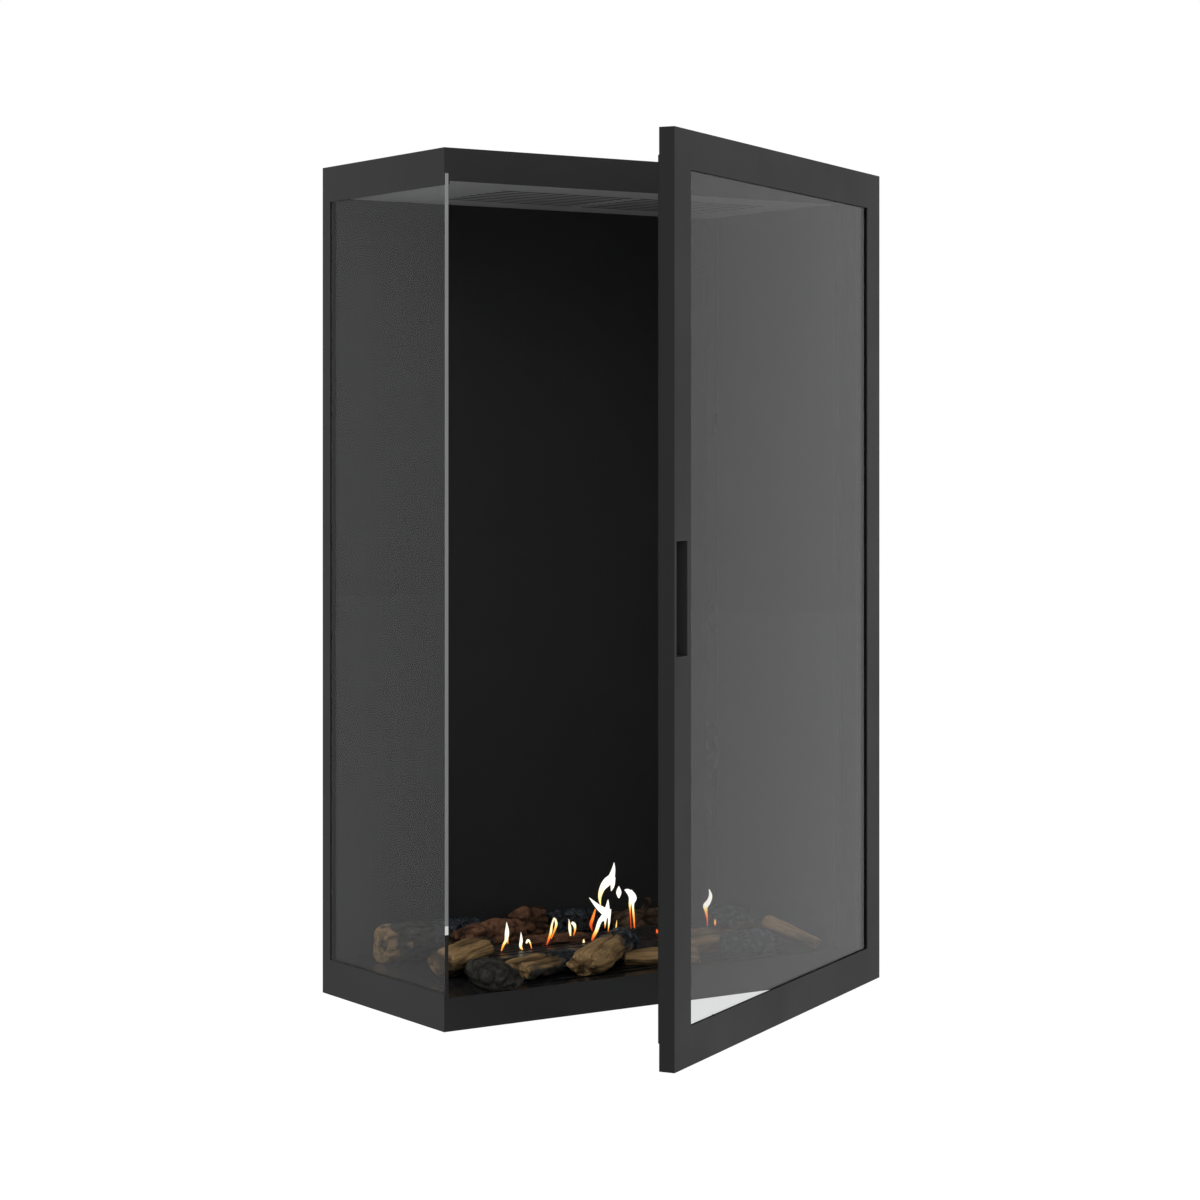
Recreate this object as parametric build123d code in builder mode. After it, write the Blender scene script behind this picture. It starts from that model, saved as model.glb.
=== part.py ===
"""Corner gas fireplace: a tall steel casing with a glass side, a glazed door and a bed of ceramic logs.

Millimetres, from the middle of the casing's base. X runs to the right along the front, Y back, Z up.
"""
import os
from math import cos, pi, radians, sin

from build123d import *

os.makedirs("parts", exist_ok=True)

# Casing
casing_width = 653.0
casing_depth = 305.0
casing_height = 1060.0
sheet = 1.0
front_band = 40.0
side_band = 45.0
fixing_spacing_x = 560.0
fixing_spacing_y = 220.0
fixing_radius = 4.5

# Side glass and the channel round it
glass_thickness = 5.0
glass_rebate = 14.0
side_seal = 1.0
rear_post_depth = 20.0

# Firebox
duct_width = 50.0
liner_thickness = 4.0
insulation_thickness = 3.0
floor_height = 38.0
ceiling_drop = 38.5
ceiling_flange = 13.5
corner_strip_width = 27.4
strip_gap = 0.6

# Hinge post beside the opening
post_lip = 10.0
groove_width = 21.0
groove_depth = 3.0
post_return = 12.0
post_flange = 20.0

# Air slots in the ceiling and the floor
slot_length = 196.0
slot_width = 9.0
slot_pitch = 19.5
slot_group_gap = 15.0
slots_from_left = 138.0
ceiling_slots = 8
ceiling_slots_from_front = 88.0
floor_slots = 2
floor_slots_from_front = 31.0
blade_length = 8.0
blade_angle = 45.0

# Burner
burner_length = 380.0
burner_width = 100.0
burner_from_left = 120.0
burner_from_front = 110.0
burner_wall = 1.2
burner_bottom = 12.0
burner_rise = 18.0
burner_flange = 8.0
cover_sheet = 1.5
cover_gap = 0.5
cover_lip = 6.0
cover_slot_width = 5.0
cover_slot_pitch = 16.0
cover_slot_rows = 5

# Gas line and pilot
gas_line_height = 24.0
pipe_radius = 4.0
pipe_bore = 3.0
injector_hex = 8.0
injector_length = 12.0
nozzle_length = 12.0
nozzle_bore = 0.9
inlet_radius = 10.0
inlet_bore = 7.5
inlet_length = 12.0
inlet_hex = 12.0
pilot_from_left = 335.0
pilot_width = 42.0
pilot_depth = 14.0
pilot_height = 22.0
pilot_pitch = 11.0
pilot_radius = 4.0
pilot_below = 15.0
pilot_above = 14.0
pilot_port_depth = 4.0
electrode_radius = 1.5
electrode_below = 16.0
electrode_above = 18.0
thermocouple_radius = 2.5
thermocouple_below = 18.0
thermocouple_above = 16.0

# Flue
outer_collar_radius = 75.0
inner_collar_radius = 50.0
collar_wall = 0.8
collar_rise = 8.0
collar_flange = 9.0
weld_leg = 1.0
hood_height = 17.5
hood_margin = 16.0

# Door
door_width = 650.0
door_thickness = 19.0
door_sheet = 1.5
door_clearance = 1.0
door_inset_right = 0.5
door_gap = 2.5
door_open = 30.0
stile_width = 45.0
stile_box = 38.5
stile_box_depth = 12.0
door_glass_thickness = 4.0
tape_thickness = 1.0
tape_width = 5.0
glass_edge_gap = 0.7
retainer_sheet = 1.0
retainer_leg = 9.5
retainer_lip = 5.5
retainer_end_gap = 0.3
seal_width = 6.0
seal_thickness = 2.2
seal_margin = 2.0
pull_width = 30.0
pull_height = 130.0
pull_depth = 13.0
pull_from_edge = 5.0
pull_wall = 1.0
magnet_radius = 8.0
magnet_depth = 5.0
magnet_proud = 2.0
magnet_from_edge = 60.0
magnet_from_end = 19.0

# Hinge
pivot_inset = 6.0
corner_round = 2.5
pin_radius = 2.5
bore_clearance = 0.05
pin_length = 19.0
pin_collar_radius = 4.5
pin_collar = 1.2
arm_thickness = 4.0
arm_half_width = 5.0
arm_clearance = 1.0
arm_from_end = 6.0
collar_gap = 0.3
bracket_foot = 43.0
bracket_sheet = 3.0
bracket_margin = 3.0
hinge_block_width = 17.0
hinge_block_height = 20.0

# Logs
log_taper = 0.16
log_bend = 2.0

# Screws
screw_radius = 2.0
screw_head_radius = 4.0
screw_head = 2.0
screw_length = 6.0
screw_rows = 4
screw_from_edge = 12.0
retainer_screw_radius = 1.5
retainer_head_radius = 2.5
retainer_head = 1.4
retainer_screw_length = 4.5
upright_screws = 4
level_screws = 3

# Edges and levels that follow from the sizes above
left = -casing_width / 2
right = casing_width / 2
front = -casing_depth / 2
back = casing_depth / 2
glass_outside = left + sheet
glass_inside = glass_outside + glass_thickness
channel_inside = glass_inside + side_seal + sheet
box_left = channel_inside
box_right = right - duct_width
panel_left = box_right + liner_thickness
panel_right = panel_left + sheet
post_front = back - rear_post_depth
liner_back = back - sheet - insulation_thickness
liner_front = liner_back - sheet
ceiling_height = casing_height - ceiling_drop
glass_foot = side_band - glass_rebate
glass_top = casing_height - glass_foot
wall_height = casing_height - 2 * front_band
burner_middle_y = front + burner_from_front + burner_width / 2
burner_left = left + burner_from_left
burner_right = burner_left + burner_length
burner_middle_x = (burner_left + burner_right) / 2
burner_top = floor_height + burner_rise
cover_top = burner_top + cover_sheet
door_height = casing_height - 2 * door_clearance
door_inset_left = casing_width - door_width - door_inset_right


def block(x0, x1, y0, y1, z0, z1, mode=Mode.ADD):
    """A box between two corners, in the part that is being built."""
    with Locations(((x0 + x1) / 2, (y0 + y1) / 2, (z0 + z1) / 2)):
        Box(x1 - x0, y1 - y0, z1 - z0, mode=mode)


def fold(points, thickness):
    """A sheet folded at right angles along the points, in the open sketch, its thickness on the left."""
    normals = []
    for (x0, y0), (x1, y1) in zip(points, points[1:]):
        length = abs(x1 - x0) + abs(y1 - y0)
        normals.append(((y0 - y1) / length, (x1 - x0) / length))
    inner = []
    for i, (x, y) in enumerate(points):
        near = normals[max(i - 1, 0) : i + 1]
        inner.append((x + thickness * sum(n[0] for n in near), y + thickness * sum(n[1] for n in near)))
    Polygon(*points, *reversed(inner), align=None)


def write(piece, name):
    """Label a finished piece and write its file."""
    piece.part.label = name
    export_step(piece.part, f"parts/{name}.step")


def slot_rows(count, from_front):
    """The middles of both groups of slots, in rows from the front."""
    group_pitch = slot_length + slot_group_gap
    first_x = left + slots_from_left + slot_length / 2
    first_y = front + from_front + slot_width / 2
    return [
        (first_x + group * group_pitch, first_y + row * slot_pitch)
        for group in range(2)
        for row in range(count)
    ]


def screw_planes():
    """The planes of the casing screws, on the right side, facing out."""
    step = (wall_height - 2 * side_band) / (screw_rows - 1)
    return [
        Plane(origin=(right, y, front_band + side_band + row * step), z_dir=(1, 0, 0))
        for y in (front + screw_from_edge, back - screw_from_edge)
        for row in range(screw_rows)
    ]


def screw_holes():
    """Cut the casing screws' holes in the part that is being built."""
    for plane in screw_planes():
        with BuildSketch(plane) as hole:
            Circle(screw_radius)
        extrude(hole.sketch, amount=-2 * sheet, mode=Mode.SUBTRACT)


# Hinge arm, seen from above: the same for both brackets and for the slots they pass through
pivot_x = right - door_inset_right - pivot_inset
pivot_y = front - door_gap - pivot_inset
arm_right = right - sheet
arm_left = pivot_x - arm_half_width
arm_span = arm_from_end + arm_thickness

# Base pan: a folded tray with a low front and a higher left edge
with BuildPart() as base_pan:
    with BuildSketch(Plane.XY):
        Rectangle(casing_width, casing_depth)
    extrude(amount=front_band)
    offset(amount=-sheet, openings=base_pan.faces().sort_by(Axis.Z)[-1])
    block(left, glass_outside, front, post_front, front_band, side_band)
    block(glass_outside, glass_inside, front, front + sheet, glass_foot, front_band, Mode.SUBTRACT)
    block(arm_left, arm_right, front, front + sheet, arm_from_end, arm_span, Mode.SUBTRACT)
    with BuildSketch(Plane.XY):
        with GridLocations(fixing_spacing_x, fixing_spacing_y, 2, 2):
            Circle(fixing_radius)
    extrude(amount=sheet, mode=Mode.SUBTRACT)
    with BuildSketch(Plane(origin=(right, burner_middle_y, gas_line_height), z_dir=(1, 0, 0))):
        Circle(inlet_radius)
    extrude(amount=-sheet, mode=Mode.SUBTRACT)
write(base_pan, "base_pan")

# Top cap: the tray upside down, with the hole for the flue
with BuildPart() as top_cap:
    with BuildSketch(Plane.XY.offset(casing_height - front_band)):
        Rectangle(casing_width, casing_depth)
    extrude(amount=front_band)
    offset(amount=-sheet, openings=top_cap.faces().sort_by(Axis.Z)[0])
    block(left, glass_outside, front, post_front, casing_height - side_band, casing_height - front_band)
    block(
        glass_outside,
        glass_inside,
        front,
        front + sheet,
        casing_height - front_band,
        glass_top,
        Mode.SUBTRACT,
    )
    block(
        arm_left,
        arm_right,
        front,
        front + sheet,
        casing_height - arm_span,
        casing_height - arm_from_end,
        Mode.SUBTRACT,
    )
    with BuildSketch(Plane.XY.offset(casing_height - sheet)):
        Circle(outer_collar_radius)
    extrude(amount=sheet, mode=Mode.SUBTRACT)
write(top_cap, "top_cap")

# Rear left post: a channel, open to the front, that takes the rear edge of the side glass
with BuildPart() as rear_left_post:
    with BuildSketch(Plane.XY.offset(front_band)):
        fold(
            [(channel_inside, post_front), (channel_inside, back), (left, back), (left, post_front)],
            sheet,
        )
    extrude(amount=wall_height)
write(rear_left_post, "rear_left_post")

# Hinge post: lip, gasket groove, face and return, folded from one sheet
groove_left = box_right + post_lip
groove_right = groove_left + groove_width
with BuildPart() as hinge_post:
    with BuildSketch(Plane.XY.offset(front_band)):
        fold(
            [
                (box_right, front + post_return),
                (box_right, front),
                (groove_left, front),
                (groove_left, front + groove_depth),
                (groove_right, front + groove_depth),
                (groove_right, front),
                (right - sheet, front),
                (right - sheet, front + post_flange),
            ],
            sheet,
        )
    extrude(amount=wall_height)
    screw_holes()
write(hinge_post, "hinge_post")

with BuildPart() as post_gasket:
    block(
        groove_left,
        groove_right,
        front + collar_gap,
        front + groove_depth,
        front_band,
        casing_height - front_band,
    )
write(post_gasket, "post_gasket")

# Outer casing: rear panel with a screwed flange, right panel, and the board behind the back liner
with BuildPart() as rear_panel:
    with BuildSketch(Plane.XY.offset(front_band)):
        fold([(right - sheet, back - post_flange), (right - sheet, back), (channel_inside, back)], sheet)
    extrude(amount=wall_height)
    screw_holes()
write(rear_panel, "rear_panel")

with BuildPart() as right_panel:
    block(right - sheet, right, front, back, front_band, casing_height - front_band)
    screw_holes()
write(right_panel, "right_panel")

with BuildPart() as rear_insulation:
    block(box_left, panel_right, liner_back, back - sheet, front_band, casing_height - front_band)
write(rear_insulation, "rear_insulation")

# Casing screws: one group of equal screws through the right panel into both flanges
with BuildPart() as casing_screws:
    for plane in screw_planes():
        with BuildSketch(plane):
            Circle(screw_head_radius)
        extrude(amount=screw_head)
        with BuildSketch(plane):
            Circle(screw_radius)
        extrude(amount=-screw_length)
    fillet(casing_screws.edges().filter_by(GeomType.CIRCLE).group_by(Axis.X)[-1], screw_head / 2)
write(casing_screws, "casing_screws")

# Firebox walls
with BuildPart() as back_liner:
    block(box_left, panel_left, liner_front, liner_back, floor_height, ceiling_height)
write(back_liner, "back_liner")

with BuildPart() as right_inner_panel:
    block(panel_left, panel_right, front + sheet, liner_back, floor_height, ceiling_height)
write(right_inner_panel, "right_inner_panel")

strip_front = liner_front - corner_strip_width
with BuildPart() as right_liner:
    block(
        box_right,
        panel_left,
        front + post_return,
        strip_front - strip_gap,
        floor_height,
        ceiling_height,
    )
    fillet(right_liner.edges().filter_by(Axis.Z).group_by(Axis.X)[0], sheet / 2)
write(right_liner, "right_liner")

with BuildPart() as liner_corner_strip:
    with BuildSketch(Plane.XY.offset(floor_height)):
        fold(
            [
                (panel_left, liner_front),
                (box_right, liner_front),
                (box_right, strip_front),
                (panel_left, strip_front),
            ],
            sheet,
        )
    extrude(amount=ceiling_height - floor_height)
write(liner_corner_strip, "liner_corner_strip")

# Ceiling: a plate with its edges turned up, and slots whose tongues are pressed up as louvres
blade_rise = radians(blade_angle)
with BuildPart() as ceiling_plate:
    with BuildSketch(Plane.YZ.offset(box_left)):
        fold(
            [
                (front + sheet, ceiling_height + ceiling_flange),
                (front + sheet, ceiling_height),
                (liner_back, ceiling_height),
                (liner_back, ceiling_height + ceiling_flange),
            ],
            sheet,
        )
    extrude(amount=panel_right - box_left)
    with BuildSketch(Plane.XY.offset(ceiling_height)):
        with Locations(*slot_rows(ceiling_slots, ceiling_slots_from_front)):
            Rectangle(slot_length, slot_width)
    extrude(amount=sheet, mode=Mode.SUBTRACT)
    for x, y in slot_rows(ceiling_slots, ceiling_slots_from_front):
        root_y = y + slot_width / 2
        tip_y = root_y - blade_length * cos(blade_rise)
        tip_z = ceiling_height + blade_length * sin(blade_rise)
        across_y = sheet * sin(blade_rise)
        across_z = sheet * cos(blade_rise)
        with BuildSketch(Plane.YZ.offset(x - slot_length / 2)):
            Polygon(
                (root_y, ceiling_height),
                (root_y + across_y, ceiling_height + across_z),
                (tip_y + across_y, tip_z + across_z),
                (tip_y, tip_z),
                align=None,
            )
        extrude(amount=slot_length)
write(ceiling_plate, "ceiling_plate")

# Exhaust hood over the louvres
slots = slot_rows(ceiling_slots, ceiling_slots_from_front)
hood_left = slots[0][0] - slot_length / 2 - hood_margin
hood_right = slots[-1][0] + slot_length / 2 + hood_margin
hood_front = slots[0][1] - slot_width / 2 - hood_margin
hood_back = slots[-1][1] + slot_width / 2 + hood_margin
hood_foot = ceiling_height + sheet
hood_top = hood_foot + hood_height
with BuildPart() as exhaust_hood:
    block(hood_left, hood_right, hood_front, hood_back, hood_foot, hood_top)
    offset(amount=-sheet, openings=exhaust_hood.faces().sort_by(Axis.Z)[0])
    with BuildSketch(Plane.XY.offset(hood_top - sheet)):
        Circle(inner_collar_radius)
    extrude(amount=sheet, mode=Mode.SUBTRACT)
write(exhaust_hood, "exhaust_hood")


def collar(radius, seat):
    """A short flue collar with a welded flange that lies on its seat, turned about the flue's axis."""
    top = casing_height + collar_rise
    with BuildSketch(Plane.XZ) as profile:
        with BuildLine():
            Polyline(
                (radius - collar_wall, seat),
                (radius - collar_wall, top),
                (radius, top),
                (radius, seat + sheet + weld_leg),
                (radius + weld_leg, seat + sheet),
                (radius + collar_flange, seat + sheet),
                (radius + collar_flange, seat),
                close=True,
            )
        make_face()
    revolve(profile.sketch, axis=Axis.Z)


with BuildPart() as flue_collar_outer:
    collar(outer_collar_radius, casing_height)
write(flue_collar_outer, "flue_collar_outer")

with BuildPart() as flue_collar_inner:
    collar(inner_collar_radius, hood_top)
write(flue_collar_inner, "flue_collar_inner")

# Side glass, its two channels and the seal on three of its edges
with BuildPart() as side_glass:
    block(glass_outside, glass_inside, front, back - sheet - strip_gap, glass_foot, glass_top)
    chamfer(side_glass.edges().filter_by(Axis.Z).group_by(Axis.Y)[0], collar_gap)
write(side_glass, "side_glass")

with BuildPart() as glass_channel_lower:
    with BuildSketch(Plane.XZ.offset(-(front + sheet))):
        fold(
            [
                (glass_outside, glass_foot - sheet),
                (channel_inside, glass_foot - sheet),
                (channel_inside, side_band - sheet),
            ],
            sheet,
        )
    extrude(amount=-(post_front - front - sheet))
write(glass_channel_lower, "glass_channel_lower")

with BuildPart() as glass_channel_upper:
    with BuildSketch(Plane.XZ.offset(-(front + sheet))):
        fold(
            [
                (channel_inside, casing_height - side_band + sheet),
                (channel_inside, glass_top + sheet),
                (glass_outside, glass_top + sheet),
            ],
            sheet,
        )
    extrude(amount=-(post_front - front - sheet))
write(glass_channel_upper, "glass_channel_upper")

seal_inside = glass_inside + side_seal
with BuildPart() as side_glass_seal:
    block(glass_inside, seal_inside, front + sheet, back - sheet - strip_gap, glass_foot, glass_top)
    block(
        glass_inside,
        seal_inside,
        front + sheet,
        post_front + sheet,
        side_band - sheet,
        casing_height - side_band + sheet,
        Mode.SUBTRACT,
    )
write(side_glass_seal, "side_glass_seal")

# Fire floor: a bench with air slots in front and the opening for the burner
with BuildPart() as fire_floor:
    with BuildSketch(Plane.YZ.offset(box_left)):
        fold(
            [
                (liner_back, sheet),
                (liner_back, floor_height),
                (front + sheet, floor_height),
                (front + sheet, sheet),
            ],
            sheet,
        )
    extrude(amount=panel_right - box_left)
    with BuildSketch(Plane.XY.offset(floor_height)):
        with Locations(*slot_rows(floor_slots, floor_slots_from_front)):
            Rectangle(slot_length, slot_width)
        with Locations((burner_middle_x, burner_middle_y)):
            Rectangle(burner_length, burner_width)
    extrude(amount=-sheet, mode=Mode.SUBTRACT)
write(fire_floor, "fire_floor")

# Burner: a tray hung in the floor by its flange, and a slotted cover over it
with BuildPart() as burner_tray:
    with BuildSketch(Plane.XY.offset(burner_bottom)):
        with Locations((burner_middle_x, burner_middle_y)):
            Rectangle(burner_length, burner_width)
    extrude(amount=burner_top - burner_bottom)
    offset(amount=-burner_wall, openings=burner_tray.faces().sort_by(Axis.Z)[-1])
    with BuildSketch(Plane.XY.offset(floor_height)):
        with Locations((burner_middle_x, burner_middle_y)):
            Rectangle(burner_length + 2 * burner_flange, burner_width + 2 * burner_flange)
            Rectangle(burner_length, burner_width, mode=Mode.SUBTRACT)
    extrude(amount=burner_wall)
    with BuildSketch(Plane(origin=(burner_right, burner_middle_y, gas_line_height), z_dir=(1, 0, 0))):
        Circle(pipe_radius)
    extrude(amount=-burner_wall, mode=Mode.SUBTRACT)
write(burner_tray, "burner_tray")

cover_length = burner_length + 2 * (cover_gap + cover_sheet)
cover_width = burner_width + 2 * (cover_gap + cover_sheet)
cover_slot_length = (cover_length - 3 * slot_group_gap) / 2
with BuildPart() as burner_cover:
    with BuildSketch(Plane.XY.offset(burner_top - cover_lip)):
        with Locations((burner_middle_x, burner_middle_y)):
            Rectangle(cover_length, cover_width)
    extrude(amount=cover_lip + cover_sheet)
    offset(amount=-cover_sheet, openings=burner_cover.faces().sort_by(Axis.Z)[0])
    with BuildSketch(Plane.XY.offset(burner_top)):
        with Locations((burner_middle_x, burner_middle_y)):
            with GridLocations(cover_slot_length + slot_group_gap, cover_slot_pitch, 2, cover_slot_rows):
                SlotOverall(cover_slot_length, cover_slot_width)
    extrude(amount=cover_sheet, mode=Mode.SUBTRACT)
write(burner_cover, "burner_cover")

# Gas line: inlet through the pan's right wall, pipe, and the injector in the tray's end
gas_plane = Plane(origin=(burner_right, burner_middle_y, gas_line_height), z_dir=(1, 0, 0))
inlet_foot = right - burner_right - inlet_length
pipe_end = inlet_foot - inlet_length
with BuildPart() as burner_injector:
    with BuildSketch(gas_plane):
        RegularPolygon(injector_hex, 6)
    extrude(amount=injector_length)
    with BuildSketch(gas_plane):
        Circle(pipe_radius)
    extrude(amount=-nozzle_length)
    with BuildSketch(gas_plane.offset(injector_length)):
        Circle(nozzle_bore)
    extrude(amount=-(injector_length + nozzle_length), mode=Mode.SUBTRACT)
    chamfer(burner_injector.faces().sort_by(Axis.X)[0].outer_wire().edges(), nozzle_bore)
write(burner_injector, "burner_injector")

with BuildPart() as gas_pipe:
    with BuildSketch(gas_plane.offset(injector_length)):
        Circle(pipe_radius)
        Circle(pipe_bore, mode=Mode.SUBTRACT)
    extrude(amount=pipe_end - injector_length)
write(gas_pipe, "gas_pipe")

with BuildPart() as gas_inlet:
    with BuildSketch(gas_plane.offset(pipe_end)):
        RegularPolygon(inlet_hex, 6)
    extrude(amount=inlet_length)
    with BuildSketch(gas_plane.offset(inlet_foot)):
        Circle(inlet_radius)
    extrude(amount=inlet_length)
    with BuildSketch(gas_plane.offset(inlet_foot + inlet_length)):
        Circle(inlet_bore)
    extrude(amount=-inlet_length, mode=Mode.SUBTRACT)
    with BuildSketch(gas_plane.offset(pipe_end)):
        Circle(pipe_bore)
    extrude(amount=inlet_length, mode=Mode.SUBTRACT)
write(gas_inlet, "gas_inlet")

# Pilot: a bracket on the floor behind the burner, with a shelf that holds three upright pieces
pilot_left = left + pilot_from_left
pilot_front = burner_middle_y + burner_width / 2 + burner_flange + sheet
pilot_back = pilot_front + pilot_depth
shelf_height = floor_height + pilot_height
pilot_middle_y = (pilot_front + pilot_back) / 2
pilot_middle_x = pilot_left + pilot_width / 2


def pilot_rod(offset_x, radius, below, above):
    """A round rod standing through the pilot shelf."""
    with BuildSketch(Plane.XY.offset(shelf_height - below)) as rod:
        with Locations((pilot_middle_x + offset_x, pilot_middle_y)):
            Circle(radius)
    extrude(rod.sketch, amount=below + above)


with BuildPart() as pilot_burner:
    pilot_rod(-pilot_pitch, pilot_radius, pilot_below, pilot_above)
    with BuildSketch(Plane.XY.offset(shelf_height - pilot_below)):
        with Locations((pilot_middle_x - pilot_pitch, pilot_middle_y)):
            Circle(pilot_radius - sheet)
    extrude(amount=pilot_below + pilot_above - pilot_port_depth, mode=Mode.SUBTRACT)
write(pilot_burner, "pilot_burner")

with BuildPart() as ignition_electrode:
    pilot_rod(0, electrode_radius, electrode_below, electrode_above)
write(ignition_electrode, "ignition_electrode")

with BuildPart() as thermocouple:
    pilot_rod(pilot_pitch, thermocouple_radius, thermocouple_below, thermocouple_above)
    fillet(thermocouple.edges().group_by(Axis.Z)[-1], thermocouple_radius / 2)
write(thermocouple, "thermocouple")

with BuildPart() as pilot_bracket:
    with BuildSketch(Plane.YZ.offset(pilot_left)):
        fold(
            [
                (pilot_front, floor_height),
                (pilot_back, floor_height),
                (pilot_back, shelf_height + sheet),
                (pilot_front, shelf_height + sheet),
            ],
            sheet,
        )
    extrude(amount=pilot_width)
    for rod in (pilot_burner, ignition_electrode, thermocouple):
        add(rod.part, mode=Mode.SUBTRACT)
    with BuildSketch(Plane.XY.offset(shelf_height)):
        with Locations((pilot_middle_x - pilot_pitch, pilot_middle_y)):
            Circle(pilot_radius)
    extrude(amount=sheet, mode=Mode.SUBTRACT)
write(pilot_bracket, "pilot_bracket")

# Hinge brackets: a foot plate behind the band, an arm through its slot, and a shouldered pin in the arm
foot_right = arm_right
foot_left = foot_right - bracket_foot


def hinge_bracket(arm_foot, foot_z0, foot_z1):
    """A foot plate and the arm that carries the pivot, for either end of the door."""
    block(
        foot_left,
        foot_right,
        front + sheet,
        front + sheet + bracket_sheet,
        foot_z0,
        foot_z1,
    )
    with BuildSketch(Plane.XY.offset(arm_foot)) as arm:
        with Locations((pivot_x, pivot_y)):
            Circle(arm_half_width)
        with Locations((pivot_x, (pivot_y + front + sheet) / 2)):
            Rectangle(2 * arm_half_width, front + sheet - pivot_y)
    extrude(arm.sketch, amount=arm_thickness)
    with BuildSketch(Plane.XY.offset(arm_foot)) as bore:
        with Locations((pivot_x, pivot_y)):
            Circle(pin_radius)
    extrude(bore.sketch, amount=arm_thickness, mode=Mode.SUBTRACT)


with BuildPart() as hinge_bracket_lower:
    hinge_bracket(arm_from_end, bracket_margin, front_band - bracket_margin)
write(hinge_bracket_lower, "hinge_bracket_lower")

with BuildPart() as hinge_bracket_upper:
    hinge_bracket(
        casing_height - arm_span,
        casing_height - front_band + bracket_margin,
        casing_height - bracket_margin,
    )
write(hinge_bracket_upper, "hinge_bracket_upper")

pin_end = pin_length + arm_thickness
with BuildPart() as hinge_pins:
    for foot, collar_foot in (
        (arm_from_end, arm_span),
        (casing_height - arm_from_end - pin_end, casing_height - arm_span - pin_collar),
    ):
        with BuildSketch(Plane.XY.offset(foot)):
            with Locations((pivot_x, pivot_y)):
                Circle(pin_radius)
        extrude(amount=pin_end)
        with BuildSketch(Plane.XY.offset(collar_foot)):
            with Locations((pivot_x, pivot_y)):
                Circle(pin_collar_radius)
        extrude(amount=pin_collar)
write(hinge_pins, "hinge_pins")

# Door plane: x from the middle towards the hinge, y up from mid height, z out of the door's rear face
swing = radians(door_open)
door_x_dir = Vector(cos(swing), sin(swing), 0)
door_z_dir = Vector(sin(swing), -cos(swing), 0)
pivot = Vector(pivot_x, pivot_y, casing_height / 2)
door_origin = pivot - door_x_dir * (door_width / 2 - pivot_inset) - door_z_dir * pivot_inset
door_plane = Plane(origin=door_origin, x_dir=door_x_dir, z_dir=door_z_dir)
half_width = door_width / 2
half_height = door_height / 2
glass_front_depth = door_thickness - door_sheet - tape_thickness
glass_back_depth = glass_front_depth - door_glass_thickness
glass_inset = stile_box + glass_edge_gap


def ring(inset, width, depth0, depth1):
    """A rectangular ring of the door: its outer edge lies inset from the door's edge, between two depths."""
    with BuildSketch(door_plane.offset(depth0)) as outline:
        Rectangle(door_width - 2 * inset, door_height - 2 * inset)
        Rectangle(door_width - 2 * (inset + width), door_height - 2 * (inset + width), mode=Mode.SUBTRACT)
    extrude(outline.sketch, amount=depth1 - depth0)


def door_block(x0, x1, y0, y1, depth0, depth1, mode=Mode.ADD):
    """A box in the door's own directions, in the part that is being built."""
    with BuildSketch(door_plane.offset(depth0)) as outline:
        with Locations(((x0 + x1) / 2, (y0 + y1) / 2)):
            Rectangle(x1 - x0, y1 - y0)
    extrude(outline.sketch, amount=depth1 - depth0, mode=mode)


def spread(count, span):
    """Equal steps along a span about the middle, with half a step left at each end."""
    return [span * ((i + 0.5) / count - 0.5) for i in range(count)]


def retainer_screw_planes(upright):
    """The planes of the screws in the uprights or the level strips, facing the middle of the door."""
    reach_x = half_width - stile_box - retainer_sheet
    reach_y = half_height - stile_box - retainer_sheet
    depth = stile_box_depth / 2
    planes = []
    for side in (-1, 1):
        if upright:
            for y in spread(upright_screws, 2 * reach_y):
                origin = door_plane.from_local_coords(Vector(side * reach_x, y, depth))
                planes.append(Plane(origin=origin, z_dir=door_x_dir * -side))
        else:
            for x in spread(level_screws, 2 * reach_x):
                origin = door_plane.from_local_coords(Vector(x, side * reach_y, depth))
                planes.append(Plane(origin=origin, z_dir=Vector(0, 0, -side)))
    return planes


def retainer_holes(upright):
    """Cut the retainer screws' holes in the part that is being built."""
    for plane in retainer_screw_planes(upright):
        with BuildSketch(plane) as hole:
            Circle(retainer_screw_radius)
        extrude(hole.sketch, amount=-(retainer_sheet + door_sheet), mode=Mode.SUBTRACT)


# Door frame: one folded section all round, with a box behind a lip that covers the glass edge
pull_left = -half_width + pull_from_edge - pull_wall
pull_right = pull_left + pull_width + 2 * pull_wall
pull_half = pull_height / 2 + pull_wall
notch_height = arm_span - door_clearance + pin_collar + collar_gap
notch_left = half_width - pivot_inset - arm_half_width - arm_clearance
notch_depth = pivot_inset + arm_half_width + arm_clearance
magnet_y = half_height - magnet_from_end
magnet_x = -half_width + magnet_from_edge
with BuildPart() as door_frame:
    ring(0, stile_width, door_thickness - door_sheet, door_thickness)
    ring(0, door_sheet, 0, door_thickness)
    ring(0, stile_box, 0, door_sheet)
    ring(stile_box - door_sheet, door_sheet, 0, stile_box_depth)
    rear_corner = door_plane.from_local_coords(Vector(half_width, 0, 0))
    fillet(door_frame.edges().filter_by(Axis.Z).sort_by_distance(rear_corner)[0], corner_round)
    for y0, y1 in (
        (-half_height, -half_height + notch_height),
        (half_height - notch_height, half_height),
    ):
        door_block(notch_left, half_width, y0, y1, 0, notch_depth, Mode.SUBTRACT)
    door_block(
        pull_left,
        pull_right,
        -pull_half,
        pull_half,
        door_thickness - door_sheet,
        door_thickness,
        Mode.SUBTRACT,
    )
    with BuildSketch(door_plane):
        with Locations((magnet_x, magnet_y), (magnet_x, -magnet_y)):
            Circle(magnet_radius)
    extrude(amount=door_sheet, mode=Mode.SUBTRACT)
    retainer_holes(True)
    retainer_holes(False)
write(door_frame, "door_frame")

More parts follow.
